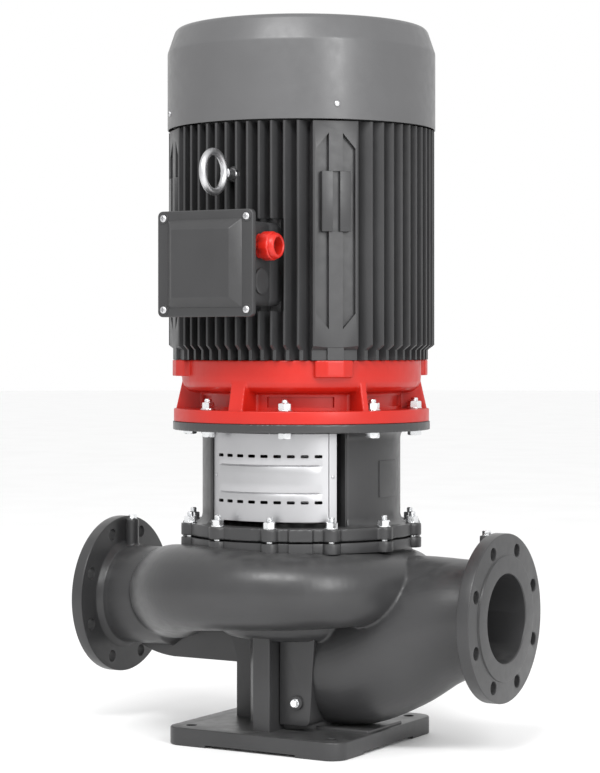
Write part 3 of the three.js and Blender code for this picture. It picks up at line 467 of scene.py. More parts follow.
class Finish:
    """A node material built step by step around one Principled shader."""

    def __init__(self, name, **constants):
        self.material = bpy.data.materials.new(name)
        self.material.use_nodes = True
        self.nodes = self.material.node_tree.nodes
        self.links = self.material.node_tree.links
        self.shader = self.nodes["Principled BSDF"]
        for socket, value in constants.items():
            self.shader.inputs[socket.replace("_", " ")].default_value = value
        self.place = self.node("ShaderNodeTexCoord").outputs["Object"]

    def node(self, kind, inputs=None, **settings):
        made = self.nodes.new(kind)
        for key, value in settings.items():
            setattr(made, key, value)
        for key, value in (inputs or {}).items():
            if isinstance(value, bpy.types.NodeSocket):
                self.links.new(value, made.inputs[key])
            else:
                made.inputs[key].default_value = value
        return made

    def noise(self, scale, detail=3.0, stretch=(1, 1, 1), roughness=0.5):
        where = self.node("ShaderNodeMapping", {"Vector": self.place, "Scale": stretch})
        made = self.node("ShaderNodeTexNoise", {
            "Vector": where.outputs[0], "Scale": scale, "Detail": detail, "Roughness": roughness,
        })
        return made.outputs[0]

    def ranged(self, value, low, high, to_low=0.0, to_high=1.0):
        made = self.node("ShaderNodeMapRange", {
            "Value": value, "From Min": low, "From Max": high, "To Min": to_low, "To Max": to_high,
        })
        return made.outputs[0]

    def maths(self, operation, one, other):
        return self.node("ShaderNodeMath", {0: one, 1: other}, operation=operation).outputs[0]

    def mixed(self, factor, one, other):
        made = self.node("ShaderNodeMix", data_type="RGBA")
        for index, value in ((0, factor), (6, one), (7, other)):
            if isinstance(value, bpy.types.NodeSocket):
                self.links.new(value, made.inputs[index])
            else:
                made.inputs[index].default_value = value
        return made.outputs[2]

    def colour(self, socket):
        self.links.new(socket, self.shader.inputs["Base Color"])

    def roughness(self, socket):
        self.links.new(socket, self.shader.inputs["Roughness"])

    def bump(self, *layers):
        """Layers of (height socket, strength, depth in millimetres)."""
        normal = None
        for height, strength, depth in layers:
            inputs = {"Height": height, "Strength": strength, "Distance": depth * MM}
            if normal is not None:
                inputs["Normal"] = normal
            normal = self.node("ShaderNodeBump", inputs).outputs[0]
        self.links.new(normal, self.shader.inputs["Normal"])


def shade(colour, factor):
    return (*[min(1.0, c * factor) for c in colour], 1.0)


def paint(name, colour, rough=(0.30, 0.40), mottle=0.10, peel=0.25, casting=0.25, dust=0.0):
    """Satin enamel: orange peel over a faint casting texture, with dust on what faces up."""
    made = Finish(name, IOR=1.45)
    broad = made.noise(7.0, 4.0)
    fine = made.noise(55.0, 3.0)
    patches = made.ranged(broad, 0.35, 0.65)
    tone = made.mixed(patches, shade(colour, 1 - mottle), shade(colour, 1 + mottle))
    if dust:
        up = made.node("ShaderNodeSeparateXYZ", {0: made.node("ShaderNodeNewGeometry").outputs["Normal"]})
        settled = made.maths("MULTIPLY", made.ranged(up.outputs[2], 0.6, 1.0), made.ranged(fine, 0.3, 0.7))
        tone = made.mixed(made.maths("MULTIPLY", settled, dust), tone, shade((0.35, 0.35, 0.34), 1))
    made.colour(tone)
    made.roughness(made.ranged(fine, 0.3, 0.7, *rough))
    made.bump((made.noise(420.0, 2.0), peel, 0.12), (made.noise(130.0, 4.0, roughness=0.6), casting, 0.35))
    return made.material


def metal(name, colour, rough=(0.2, 0.35), scale=260.0, stretch=(1, 1, 1), depth=0.05, tint=0.12):
    """Bare metal with fine directional marks."""
    made = Finish(name, Metallic=1.0)
    marks = made.noise(scale, 4.0, stretch, 0.65)
    broad = made.noise(14.0, 3.0)
    made.colour(made.mixed(made.ranged(broad, 0.35, 0.65), shade(colour, 1 - tint), shade(colour, 1 + tint)))
    spread = made.maths("MULTIPLY", made.ranged(marks, 0.3, 0.7), made.ranged(broad, 0.2, 0.8, 0.7, 1.0))
    made.roughness(made.ranged(spread, 0.0, 1.0, *rough))
    made.bump((marks, 0.35, depth))
    return made.material


def moulded(name, colour, rough=(0.38, 0.55), grain=700.0, depth=0.06):
    """Moulded plastic, rubber or ceramic with a fine surface grain."""
    made = Finish(name, IOR=1.46)
    broad = made.noise(30.0, 3.0)
    made.colour(made.mixed(made.ranged(broad, 0.35, 0.65), shade(colour, 0.9), shade(colour, 1.1)))
    made.roughness(made.ranged(made.noise(90.0), 0.3, 0.7, *rough))
    made.bump((made.noise(grain, 2.0), 0.3, depth))
    return made.material


def layered(name, colour, pitch, metallic, rough, depth):
    """Stacked sheets or wound wire: fine bands across the upright axis."""
    made = Finish(name, Metallic=metallic)
    where = made.node("ShaderNodeMapping", {"Vector": made.place, "Scale": (0.02, 0.02, 1.0)})
    bands = made.node("ShaderNodeTexWave", {
        "Vector": where.outputs[0], "Scale": 1.0 / (pitch * MM * 20.0), "Distortion": 0.6, "Detail": 1.0,
    }, bands_direction="Z").outputs[1]
    made.colour(made.mixed(bands, shade(colour, 0.7), shade(colour, 1.1)))
    made.roughness(made.ranged(made.noise(60.0), 0.3, 0.7, *rough))
    made.bump((bands, 0.5, depth))
    return made.material


CASTING_GREY = (0.034, 0.034, 0.035)
MOTOR_GREY = (0.030, 0.030, 0.031)
COWL_GREY = (0.084, 0.084, 0.086)
SIGNAL_RED = (0.42, 0.010, 0.004)

MATERIALS = {
    "dark_paint": paint("dark_enamel_on_iron", CASTING_GREY, dust=0.08),
    "frame_paint": paint("charcoal_enamel", MOTOR_GREY, rough=(0.34, 0.44), casting=0.18, dust=0.05),
    "cowl_paint": paint(
        "grey_enamel_on_sheet", COWL_GREY, rough=(0.3, 0.4), mottle=0.05, peel=0.3, casting=0.04),
    "red_paint": paint("red_enamel_on_iron", SIGNAL_RED, rough=(0.34, 0.46), mottle=0.07, casting=0.2),
    "stainless_sheet": metal(
        "brushed_stainless", (0.44, 0.44, 0.45), (0.36, 0.42), 500.0, (1, 1, 0.02), 0.003, 0.03),
    "zinc_fasteners": metal("bright_zinc", (0.82, 0.83, 0.84), (0.16, 0.34), 190.0, (1, 1, 1), 0.03, 0.08),
    "bright_steel": metal("ground_steel", (0.55, 0.56, 0.58), (0.2, 0.36), 500.0, (0.2, 0.2, 3.0), 0.03),
    "machined_iron": metal("machined_iron", (0.30, 0.30, 0.31), (0.4, 0.6), 300.0, (1, 1, 1), 0.08),
    "bronze": metal("cast_bronze", (0.62, 0.40, 0.17), (0.3, 0.5), 160.0, (1, 1, 1), 0.15, 0.2),
    "lamination": layered("stacked_sheets", (0.38, 0.39, 0.41), 1.0, 0.9, (0.35, 0.5), 0.15),
    "copper_winding": layered("varnished_copper", (0.60, 0.26, 0.11), 2.4, 0.7, (0.25, 0.45), 0.6),
    "rubber": moulded("elastomer", (0.025, 0.025, 0.026), (0.6, 0.8), 500.0, 0.1),
    "ceramic": moulded("lapped_ceramic", (0.78, 0.75, 0.68), (0.15, 0.25), 900.0, 0.01),
    "red_plastic": moulded("red_polyamide", (0.45, 0.012, 0.006), (0.3, 0.45)),
    "black_plastic": moulded("black_polyamide", (0.028, 0.028, 0.03)),
}

FORGED_ZINC = metal("zinc_on_forging", (0.50, 0.50, 0.51), (0.34, 0.46), 240.0, depth=0.02)


def hidden_finish(node, slot_name):
    """A carried-over CAD node keeps its mesh and takes a procedural finish."""
    piece = frame["nodes"][node]
    for place in piece.material_slots:
        place.link = "OBJECT"
        place.material = MATERIALS[slot_name]


# ---------- Pump casing ----------


def spiral_stations():
    rows = []
    for i in range(9):
        share = i / 8
        x, y = at_heading(252 * (1 - share), 166 + 39 * share)
        rows.append((x, y, 280, 38 + 30 * share))
    return rows


DISCHARGE = [
    (-112, -190, 276, 74), (-165, -150, 267, 79), (-199, -100, 257, 81), (-231, -48, 248, 81),
    (-285, -6, 239, 79),
]
SUCTION = [
    (385, 0, 235, 89), (350, 0, 235, 94), (310, 0, 230, 101), (255, 0, 210, 106),
    (190, 0, 173, 109), (112, 0, 141, 108), (40, 0, 130, 96), (-10, 0, 134, 86),
]
HOOD = [(180, 0, 262, 70), (255, 0, 255.5, 78), (330, 0, 243, 88)]
SUCTION_PASSAGE = [
    (330, 0, 235, 66), (300, 0, 230, 77), (255, 0, 213, 80), (190, 0, 180, 84),
    (112, 0, 150, 82), (45, 0, 144, 76), (5, 0, 152, 70),
]
UPWARD = (0, 0, 1)
SIDEWAYS = (0, 1, 0)


def clamp_outline():
    """The plan of the clamp flanges: a waist, an ear at each stud and four square lugs."""
    points = []
    samples = 720
    for k in range(samples):
        heading = k * 360 / samples
        radius = 203.0
        for i in range(STUD_COUNT):
            off = (heading - STUD_START - i * 360 / STUD_COUNT + 180) % 360 - 180
            across = STUD_CIRCLE * math.sin(off * DEG)
            if abs(off) < 30 and abs(across) < 16:
                radius = max(radius, STUD_CIRCLE * math.cos(off * DEG) + math.sqrt(16 ** 2 - across ** 2))
        for i in range(4):
            off = (heading - 30 - i * 90 + 180) % 360 - 180
            if abs(off) < 30 and abs(208.5 * math.tan(off * DEG)) < 21.5:
                radius = max(radius, 208.5 / math.cos(off * DEG))
        points.append(at_heading(heading, radius))
    return points


def stud_holes(radius, low, high):
    hole = lambda i: shifted(disc(radius, low, high, 24), y=-STUD_CIRCLE)
    return gather(around(STUD_COUNT, STUD_START, hole))


def motor_bolt_holes(low, high):
    return gather(around(BOLT_COUNT, BOLT_START, lambda i: shifted(disc(7.5, low, high, 24), y=-STUD_CIRCLE)))


def pipe_flange():
    profile = softened([
        (60, FLANGE_BACK - 20), (NECK_RADIUS, FLANGE_BACK - 20), (NECK_RADIUS, FLANGE_BACK - 9),
        (NECK_RADIUS + 9, FLANGE_BACK), (FLANGE_RADIUS, FLANGE_BACK), (FLANGE_RADIUS, FLANGE_FACE - 3),
        (RAISED_FACE, FLANGE_FACE - 3), (RAISED_FACE, FLANGE_FACE), (60, FLANGE_FACE),
    ], 1.8)
    return shifted(facing_suction(lathe(profile, 144)), z=NOZZLE_HEIGHT)


def pipe_flange_holes():
    def hole(i):
        profile = [
            (0, FLANGE_BACK - 7), (PIPE_HOLE, FLANGE_BACK - 7), (PIPE_HOLE, FLANGE_FACE - 4),
            (PIPE_HOLE + 1.2, FLANGE_FACE - 2.8), (PIPE_HOLE + 1.2, FLANGE_FACE + 5), (0, FLANGE_FACE + 5),
        ]
        return shifted(lathe(profile, 32), y=-PIPE_BOLT_CIRCLE)
    return shifted(facing_suction(gather(around(8, 22.5, hole))), z=NOZZLE_HEIGHT)


def pipe_bore(start):
    profile = softened([
        (0, start), (PIPE_BORE, start), (PIPE_BORE, FLANGE_FACE - 1.5),
        (PIPE_BORE + 2, FLANGE_FACE + 0.5), (PIPE_BORE + 2, FLANGE_FACE + 5), (0, FLANGE_FACE + 5),
    ], 0.8)
    return shifted(facing_suction(lathe(profile, 96)), z=NOZZLE_HEIGHT)


def foot_plate():
    plate = prism(rounded_rectangle(FOOT_HALF, FOOT_HALF, 30), 0, FOOT_TOP, 2.6, 3)
    slot, land, deep = 90, 60, 5
    return cut(
        plate,
        block(-slot, slot, -FOOT_HALF - 9, -land, -9, deep),
        block(-slot, slot, land, FOOT_HALF + 9, -9, deep),
        block(-FOOT_HALF - 9, -land, -slot, slot, -9, deep),
        block(land, FOOT_HALF + 9, -slot, slot, -9, deep),
    )


def foot_holes():
    profile = [
        (0, -9), (9, -9), (9, FOOT_TOP - 1.2), (10.2, FOOT_TOP), (10.2, FOOT_TOP + 9), (0, FOOT_TOP + 9),
    ]
    return gather(around(4, 45, lambda i: shifted(lathe(profile, 48), y=-140 * math.sqrt(2))))


def upright_plate(outline, near, far, edge=0.0):
    """A plate in the plane of X and Z, from depth near to far in front of the axis."""
    return facing_front(prism(outline, near, far, edge))


def curve(start, control, end, steps=8):
    points = []
    for k in range(steps + 1):
        t = k / steps
        points.append(tuple(
            (1 - t) ** 2 * a + 2 * t * (1 - t) * b + t * t * c for a, b, c in zip(start, control, end)
        ))
    return points


def casing_piece():
    bowl = lathe([
        (0, 185), (124, 185), (134, 187.5), (143, 194), (148, 202), (150, 213), (150, 250), (192, 290),
        (195, CLAMP_LOW + 4), (0, CLAMP_LOW + 4),
    ], 128)
    web = [
        (0, 26), (-127, 26), (-127, 127), *curve((-262, 127), (-315, 130), (-345, 154)), (-345, 200), (0, 250),
    ]
    plate = [(19, 41), *curve((66, 41), (79, 41), (79, 55)), (89, 200), (19, 200)]
    boss = lambda: shifted(disc(12, 295, GAUGE_TOP, 32), x=GAUGE_AT)
    neck_profile = [
        (0, NECK_START - 40), (60, NECK_START - 40), (NECK_RADIUS, NECK_START),
        (NECK_RADIUS, FLANGE_BACK + 8), (0, FLANGE_BACK + 8),
    ]
    neck = lambda: shifted(facing_suction(lathe(neck_profile)), z=NOZZLE_HEIGHT)
    half_turn = Matrix.Rotation(math.pi, 4, "Z")
    skin = cast(gather([
        bowl,
        sweep([*spiral_stations(), *DISCHARGE], 150, 64, UPWARD),
        sweep(SUCTION, 60, 64, SIDEWAYS),
        sweep(HOOD, 24, 64, SIDEWAYS),
        disc(PEDESTAL_RADIUS, FOOT_TOP - 5, 195, 96),
        boss(), moved(boss(), half_turn), neck(), moved(neck(), half_turn),
    ]), 2.5, 4)
    union(
        skin,
        upright_plate(web, -12, 14, 2.5),
        bevel(block(-17, 17, -138, -60, FOOT_TOP - 5, 195), 3, 3),
        upright_plate(plate, 40, 107, 2.0),
        shifted(facing_front(disc(12, 60, DRAIN_DEPTH, 48, 1.2)), x=DRAIN_X, z=DRAIN_HEIGHT),
    )
    union(skin, foot_plate(), bevel(block(52, 168, -62, 62, FOOT_TOP - 5, FOOT_TOP + 5), 2.5, 3))
    union(skin, pipe_flange(), moved(pipe_flange(), half_turn))
    union(skin, prism(clamp_outline(), CLAMP_LOW, CLAMP_TOP, 1.5))
    passage = [(x, y, z, r - WALL) for x, y, z, r in [*spiral_stations(), *DISCHARGE]]
    return cut(
        skin,
        sweep(passage, 120, 40, UPWARD),
        sweep(SUCTION_PASSAGE, 40, 48, SIDEWAYS),
        pipe_bore(SUCTION_BORE_START),
        moved(pipe_bore(DISCHARGE_BORE_START), half_turn),
        disc(72, 145, 234, 64),
        disc(88.3, 228.7, 255, 72),
        disc(CHAMBER_RADIUS, 252, CLAMP_TOP - 6, 96),
        disc(SPIGOT_RADIUS, CLAMP_TOP - 8, CLAMP_TOP + 5, 96),
        stud_holes(6.3, CLAMP_LOW + 3, CLAMP_TOP + 5),
        pipe_flange_holes(),
        moved(pipe_flange_holes(), half_turn),
        foot_holes(),
        gather([
            shifted(disc(TAPPING_RADIUS, GAUGE_LOW, 380, 20), x=GAUGE_AT),
            shifted(disc(TAPPING_RADIUS, GAUGE_LOW, 380, 20), x=-GAUGE_AT),
            shifted(facing_front(disc(TAPPING_RADIUS, 97, 118, 20)), x=DRAIN_X, z=DRAIN_HEIGHT),
        ]),
    )


# ---------- Lantern and guards ----------


def wedge(start, end, radius, low, high):
    outline = [(0, 0), *arc(radius, start, end, 24)]
    return prism(outline, low, high)


def lantern_piece():
    barrel = lathe([
        (150, LANTERN_FOOT_TOP - 3), (186, LANTERN_FOOT_TOP - 3), (182, LANTERN_FOOT_TOP + 1),
        (176.5, LANTERN_FOOT_TOP + 6),
        (174.5, LANTERN_FOOT_TOP + 13), (174.5, HEAD_LOW - 13), (176.5, HEAD_LOW - 6), (182, HEAD_LOW - 1),
        (186, HEAD_LOW + 3), (158, HEAD_LOW + 3), (158, LANTERN_FOOT_TOP + 1),
    ], 144)
    window = wedge(*WINDOW, 240, LANTERN_FOOT_TOP, HEAD_LOW)
    rear_window = turned_to(wedge(*WINDOW, 240, LANTERN_FOOT_TOP, HEAD_LOW), 180)
    cut(barrel, window, rear_window)
    skin = cast(gather([
        barrel,
        prism(clamp_outline(), LANTERN_LOW, LANTERN_FOOT_TOP),
        disc(226.5, HEAD_LOW, LANTERN_TOP, 144),
    ]), 2.0, 2)
    jambs = []
    for turn in (0, 180):
        jamb = wedge(WINDOW[1] - 0.6, WINDOW[1] + 5, 173, LANTERN_FOOT_TOP - 2, HEAD_LOW + 2)
        jambs.append(turned_to(cut(jamb, disc(138, LANTERN_FOOT_TOP - 5, HEAD_LOW + 5, 96)), turn))
    label = bevel(cut(wedge(80, 100, 176.2, 432, 495), disc(170, 430, 500, 96)), 0.8)
    union(skin, *jambs, label)
    return cut(
        skin,
        disc(70, LANTERN_LOW - 5, LANTERN_FOOT_TOP + 5, 72),
        disc(150, HEAD_LOW - 5, LANTERN_TOP + 5, 120),
        disc(240, LANTERN_LOW - 9, LANTERN_LOW, 48),
        disc(240, LANTERN_TOP, LANTERN_TOP + 9, 48),
        stud_holes(6.5, LANTERN_LOW - 5, LANTERN_FOOT_TOP + 5),
        motor_bolt_holes(HEAD_LOW - 5, LANTERN_TOP + 5),
    )


def guard_piece():
    """A perforated sheet with two pressed grooves and a set-back strip along each side."""
    low, high, sheet, step = 394, 543, 2.0, 4.0
    groove_heights, groove_half, groove_depth = (442, 489), 1.9, 1.5
    edges = (-32.4, -25.6, -24.6, 45.6, 46.6, 51)
    headings = []
    for start, end, steps in zip(edges, edges[1:], (5, 2, 70, 2, 5)):
        headings += [start + (end - start) * k / steps for k in range(steps)]
    headings.append(edges[-1])
    heights = sorted({
        low, high, 410, 427, 460, 475, 505, 525,
        *[h + o for h in groove_heights for o in (-1.9, -1.3, -0.7, 0, 0.7, 1.3, 1.9)],
    })

    def depth(heading, height):
        if heading <= edges[1] + 1e-6 or heading >= edges[4] - 1e-6:
            return step
        if heading < edges[2] or heading > edges[3]:
            return step * 0.5
        for middle in groove_heights:
            off = abs(height - middle) / groove_half
            if off < 1 and -23 < heading < 41:
                return groove_depth * math.cos(off * math.pi / 2) ** 2
        return 0.0

    corners = []
    for back in (0.0, sheet):
        for heading in headings:
            for height in heights:
                x, y = at_heading(heading, GUARD_RADIUS - back - depth(heading, height))
                corners.append((x, y, height))
    rows, columns = len(heights), len(headings)
    layer = rows * columns
    faces = []
    for i in range(columns - 1):
        for j in range(rows - 1):
            a, b, c, d = i * rows + j, (i + 1) * rows + j, (i + 1) * rows + j + 1, i * rows + j + 1
            faces += [(a, b, c, d), (layer + d, layer + c, layer + b, layer + a)]
    for i in range(columns - 1):
        for j in (0, rows - 1):
            a, b = i * rows + j, (i + 1) * rows + j
            faces.append((a, b, layer + b, layer + a))
    for i in (0, columns - 1):
        for j in range(rows - 1):
            a, b = i * rows + j, i * rows + j + 1
            faces.append((a, b, layer + b, layer + a))
    slots = []
    for height in (427, 505):
        for k in range(9):
            slot = facing_front(prism(rounded_rectangle(6.75, 2.7, 1.8, 4), 150, 200))
            slots.append(turned_to(shifted(slot, z=height), -22 + k * 7.75))
    return cut(solid("guard", corners, faces), gather(slots))


# ---------- Motor housing ----------


def shield_piece():
    outer = lathe([
        (0, 566), (175, 566), (175, 612), (180, 612.5), (188, 613), (199, 616), (206.5, 622), (210, 630),
        (211, 640), (211, SHIELD_TOP), (0, SHIELD_TOP),
    ], 144)
    ribs = []
    for i in range(6):
        half = 14 if i % 3 == 0 else 6
        rib = upright_plate([(165, 578), (222, 578), (208, 640), (170, 640)], -half, half)
        ribs.append(turned_to(rib, 60 * i - 90))
    lug_plan = [(-33, -190), (-33, -219), (-14.5, -229), (14.5, -229), (33, -219), (33, -190)]
    lugs = around(4, 45, lambda i: prism(lug_plan, 640, SHIELD_TOP))
    skin = cast(gather([outer, *ribs, *lugs]), 1.9, 2)
    flange = lathe(softened([
        (0, SHIELD_LOW), (225, SHIELD_LOW), (225, SHIELD_FLANGE_TOP), (0, SHIELD_FLANGE_TOP),
    ], 1.6), 144)
    union(skin, flange)
    panel_edges = ((11, 49), (8, 52), (8, 49))  # headings past each rib
    panels = []
    for i in range(6):
        start, end = panel_edges[i % 3]
        panels.append(cut(wedge(60 * i + start, 60 * i + end, 185, 588, 606), disc(170, 580, 615, 96)))
    cut(skin, gather(panels))
    inner = lathe([
        (0, 550), (149.7, 550), (149.7, 554.6), (138, 554.6), (138, 577), (40, 577), (40, 604), (70.3, 604),
        (70.3, 640), (86, 640), (92, 600), (158, 600), (172, 630), (172, 690), (0, 690),
    ], 96)
    spigot = tube(171.5, 184, SHIELD_TOP - 4, SHIELD_TOP + 8, 96, 0.8)
    face = disc(240, SHIELD_TOP, SHIELD_TOP + 9, 48)
    cut(skin, face)
    union(skin, spigot)
    return cut(skin, inner, motor_bolt_holes(SHIELD_LOW - 5, SHIELD_FLANGE_TOP + 5))


def finned_outline():
    """Parallel fins on four sides and a flat pad across each corner."""
    count, pitch, tip, root = 12, 20.5, 2.3, 3.6
    pad_reach, pad_half = 229, 39
    points = []
    for side in range(4):
        corners = []
        for fin in range(count):
            x = (fin - (count - 1) / 2) * pitch
            deep = lambda at: -math.sqrt(199 ** 2 - at ** 2)
            far = -math.sqrt(235 ** 2 - (abs(x) + tip) ** 2)
            if fin > 0:
                corners += [(x - root - 2.4, deep(x - root - 2.4)), (x - root, deep(x - root) - 2.0)]
            corners += [(x - tip, far + 1.4), (x - tip + 0.5, far + 0.4), (x - tip + 1.3, far)]
            corners += [(x + tip - 1.3, far), (x + tip - 0.5, far + 0.4), (x + tip, far + 1.4)]
            if fin < count - 1:
                corners += [(x + root, deep(x + root) - 2.0), (x + root + 2.4, deep(x + root + 2.4))]
        outermost = ((count - 1) / 2) * pitch + 3.2
        flank = outermost + pad_half * math.sqrt(2)
        edge_x = (pad_reach - pad_half) / math.sqrt(2)
        edge_y = (pad_reach + pad_half) / math.sqrt(2)
        corners = [
            (-edge_x - 1.4, -edge_y + 1.4), (-edge_x + 1.2, -edge_y + 0.6), (-outermost, -flank),
            *corners,
            (outermost, -flank), (edge_x - 1.2, -edge_y + 0.6), (edge_x + 1.4, -edge_y + 1.4),
        ]
        for x, y in corners:
            for _ in range(side):
                x, y = -y, x
            points.append((x, y))
    return points


def eye_discs(radius, near, far, sides, edge=0.0):
    """A disc facing the front at the lifting eye, and its twin at the rear."""
    return [
        turned_to(shifted(facing_front(disc(radius, near, far, sides, edge)), z=EYE_HEIGHT), turn)
        for turn in (0, 180)
    ]


def frame_piece():
    finned = prism(finned_outline(), FRAME_LOW, FRAME_TOP)
    envelope = lathe([
        (0, FRAME_LOW - 5), (223, FRAME_LOW - 5), (223, 685), (237, 696), (237, FRAME_TOP - 1.5),
        (235.5, FRAME_TOP + 0.001), (0, FRAME_TOP + 0.001),
    ], 192)
    overlap(finned, envelope)
    low, high, half, rib, chamfer = 720, 1048, 34, 12, 26
    pockets = []
    for k in range(4):
        for hand in (1, -1):
            outline = [
                (hand * rib, low), (hand * half, low + chamfer),
                (hand * half, high - chamfer), (hand * rib, high),
            ]
            pocket = upright_plate(outline, 220, 240)
            pockets.append(turned_to(pocket, 45 + 90 * k))
    cut(finned, *pockets)
    stubs = around(4, 45, lambda i: block(-14, 14, -228, -200, FRAME_LOW, 703))
    blocks = around(4, 45, lambda i: block(-25, 25, -233, -205, BLOCK_LOW, BLOCK_HIGH, 1.2))
    seats = eye_discs(13, 190, EYE_SEAT, 48, 0.8)
    cut(finned, block(-92, 92, -250, -196, 750, 905))
    saddle = facing_front(prism(rounded_rectangle(75, 69.5, 12), 190, 231.7, 1.0))
    union(finned, *stubs, *blocks, *seats, shifted(saddle, z=BOX_MIDDLE))
    channels = around(4, 45, lambda i: block(-6.5, 6.5, -240, -225, BLOCK_LOW, BLOCK_HIGH))
    eye_faces = eye_discs(13.4, EYE_SEAT, 250, 48)
    shanks = eye_discs(8.3, 204, 231, 32)
    cut(finned, disc(184.3, FRAME_LOW - 5, FRAME_TOP + 5, 96))
    return cut(finned, *channels, *eye_faces, *shanks)


def cowl_piece():
    shell = lathe(softened([
        (0, COWL_TOP), (218, COWL_TOP), (223, COWL_TOP - 5), (236, COWL_SHOULDER), (236, COWL_LOW),
        (233.5, COWL_LOW), (233.5, COWL_SHOULDER - 0.4), (220.5, COWL_TOP - 6), (216, COWL_TOP - 2.5),
        (0, COWL_TOP - 2.5),
    ], 3.0, 4), 192)
    slots = []
    for count, near, far in ((8, 45, 100), (16, 115, 195)):
        middle, reach = (near + far) / 2, (far - near) / 2
        slots += around(count, 0, lambda i: shifted(
            prism(rounded_rectangle(7, reach, 6.9), COWL_TOP - 10, COWL_TOP + 5), y=-middle))
    return cut(shell, gather(slots))


# ---------- Terminal box and fittings ----------


def box_piece():
    outer = facing_front(prism(rounded_rectangle(75, 69.5, 10), 232, 302.7, 0.6))
    inner = facing_front(prism(rounded_rectangle(69, 63.5, 6), 238, 310))
    piece = cut(shifted(outer, z=BOX_MIDDLE), shifted(inner, z=BOX_MIDDLE))
    holes = [facing_suction(disc(16, 60, 80, 32)) for _ in range(2)]
    return cut(
        piece,
        shifted(holes[0], y=-ENTRY_DEPTH, z=GLAND_HEIGHT),
        shifted(holes[1], y=-ENTRY_DEPTH, z=BLANK_HEIGHT),
    )


def cover_piece():
    plate = facing_front(prism(rounded_rectangle(93, 88, 9), 303, 315, 2.2, 3))
    half, small, back, front = 73, 56, 313, 330
    corners = []
    for size, depth in ((half, back), (half, 315.2), (small, front)):
        square = ((-size, -size), (size, -size), (size, size), (-size, size))
        corners += [(x, -depth, z) for x, z in square]
    faces = [(0, 1, 2, 3), (8, 9, 10, 11)]
    for level in (0, 4):
        faces += [(level + k, level + (k + 1) % 4, level + 4 + (k + 1) % 4, level + 4 + k) for k in range(4)]
    panel = solid("panel", corners, faces)
    panel = bevel(panel, 2.2, 3, 20)
    posts = [shifted(facing_front(disc(9.5, 310, 316, 40, 0.7)), x=x, z=z) for x, z in LID_SCREWS]
    piece = union(plate, panel, *posts)
    wells = [shifted(facing_front(disc(6.8, 314.4, 320, 32)), x=x, z=z) for x, z in LID_SCREWS]
    return shifted(cut(piece, *wells), z=COVER_MIDDLE)


def pan_screw(radius, height):
    """A cross-recessed pan head standing on z = 0, on a short shank."""
    angles = np.linspace(0, math.pi / 2, 8)
    dome = [(radius * math.cos(a), height * (0.35 + 0.65 * math.sin(a))) for a in angles]
    head = lathe([(0, -3), (radius * 0.5, -3), (radius * 0.5, 0), (radius, 0), *dome[:-1], (0, height)], 32)
    arm = radius * 0.55
    return cut(
        head,
        block(-arm, arm, -radius * 0.12, radius * 0.12, height * 0.45, height * 2),
        block(-radius * 0.12, radius * 0.12, -arm, arm, height * 0.45, height * 2),
    )


def gland_nut_piece():
    """A clamping nut with eight flats and a domed nose."""
    rounding = lathe(softened([(0, 83), (24, 83), (24, 99), (21.5, 101.5), (0, 101.5)], 1.2), 96)
    flats = overlap(disc(25.4, 83, 101.5, 8), rounding)
    nose = lathe(softened([(0, 95), (22, 95), (22, 104), (19, 110), (0, 110)], 3.5, 5), 96)
    bore = lathe([(0, 80), (14.5, 80), (14.5, 108.6), (16, 110.2), (16, 113), (0, 113)], 64)
    return shifted(facing_suction(cut(union(flats, nose), bore)), y=-ENTRY_DEPTH, z=GLAND_HEIGHT)


def gland_body_piece():
    collar = overlap(disc(23, 75.3, 82.7, 6), disc(22.6, 75.3, 82.7, 64, 1.4))
    union(collar, disc(15.5, 63.3, 78, 48))
    cut(collar, disc(11, 55, 110, 48))
    return shifted(facing_suction(collar), y=-ENTRY_DEPTH, z=GLAND_HEIGHT)


def gland_seal_piece():
    seal = lathe(softened([(8, 84), (14.2, 84), (14.2, 93), (11.5, 93), (8, 90)], 0.8), 64)
    return shifted(facing_suction(seal), y=-ENTRY_DEPTH, z=GLAND_HEIGHT)


def blanking_plug_piece():
    head = lathe(softened([(0, 75.3), (22, 75.3), (22, 78.3), (18.5, 79), (0, 79)], 0.8), 64)
    union(head, disc(15.5, 67.3, 77, 48))
    return shifted(facing_suction(head), y=-ENTRY_DEPTH, z=BLANK_HEIGHT)


def eye_piece():
    """A forged ring on a collar, its shank screwed into the frame."""
    ring, wire, sides, round_sides = 33.3, 6.2, 96, 24
    corners = []
    for i in range(sides):
        a = 2 * math.pi * i / sides
        for k in range(round_sides):
            b = 2 * math.pi * k / round_sides
            out = ring + wire * math.cos(b)
            corners.append((wire * math.sin(b), out * math.cos(a), out * math.sin(a)))
    faces = []
    for i in range(sides):
        for k in range(round_sides):
            n, m = (i + 1) % sides, (k + 1) % round_sides
            faces.append((i * round_sides + k, n * round_sides + k, n * round_sides + m, i * round_sides + m))
    loop = shifted(solid("loop", corners, faces), y=-287)
    stem = facing_front(lathe(softened([
        (0, 206), (7.9, 206), (7.9, 226.3), (10, 226.3), (10, 230), (8.2, 232), (7.4, 240), (8.2, 248),
        (9.5, 252), (0, 254),
    ], 1.0), 48))
    return shifted(union(loop, stem), z=EYE_HEIGHT)


# ---------- Fasteners ----------


def hex_head(across, low, high, hole=0.0):
    """A hexagon with chamfered corners, optionally bored."""
    corner = across / math.sqrt(3)
    rounding = lathe([
        (0, low), (corner * 0.9, low), (corner, low + corner * 0.07), (corner, high - corner * 0.10),
        (corner * 0.86, high), (0, high),
    ], 64)
    piece = overlap(disc(corner, low, high, 6), rounding)
    return cut(piece, disc(hole, low - 2, high + 2, 32)) if hole else piece


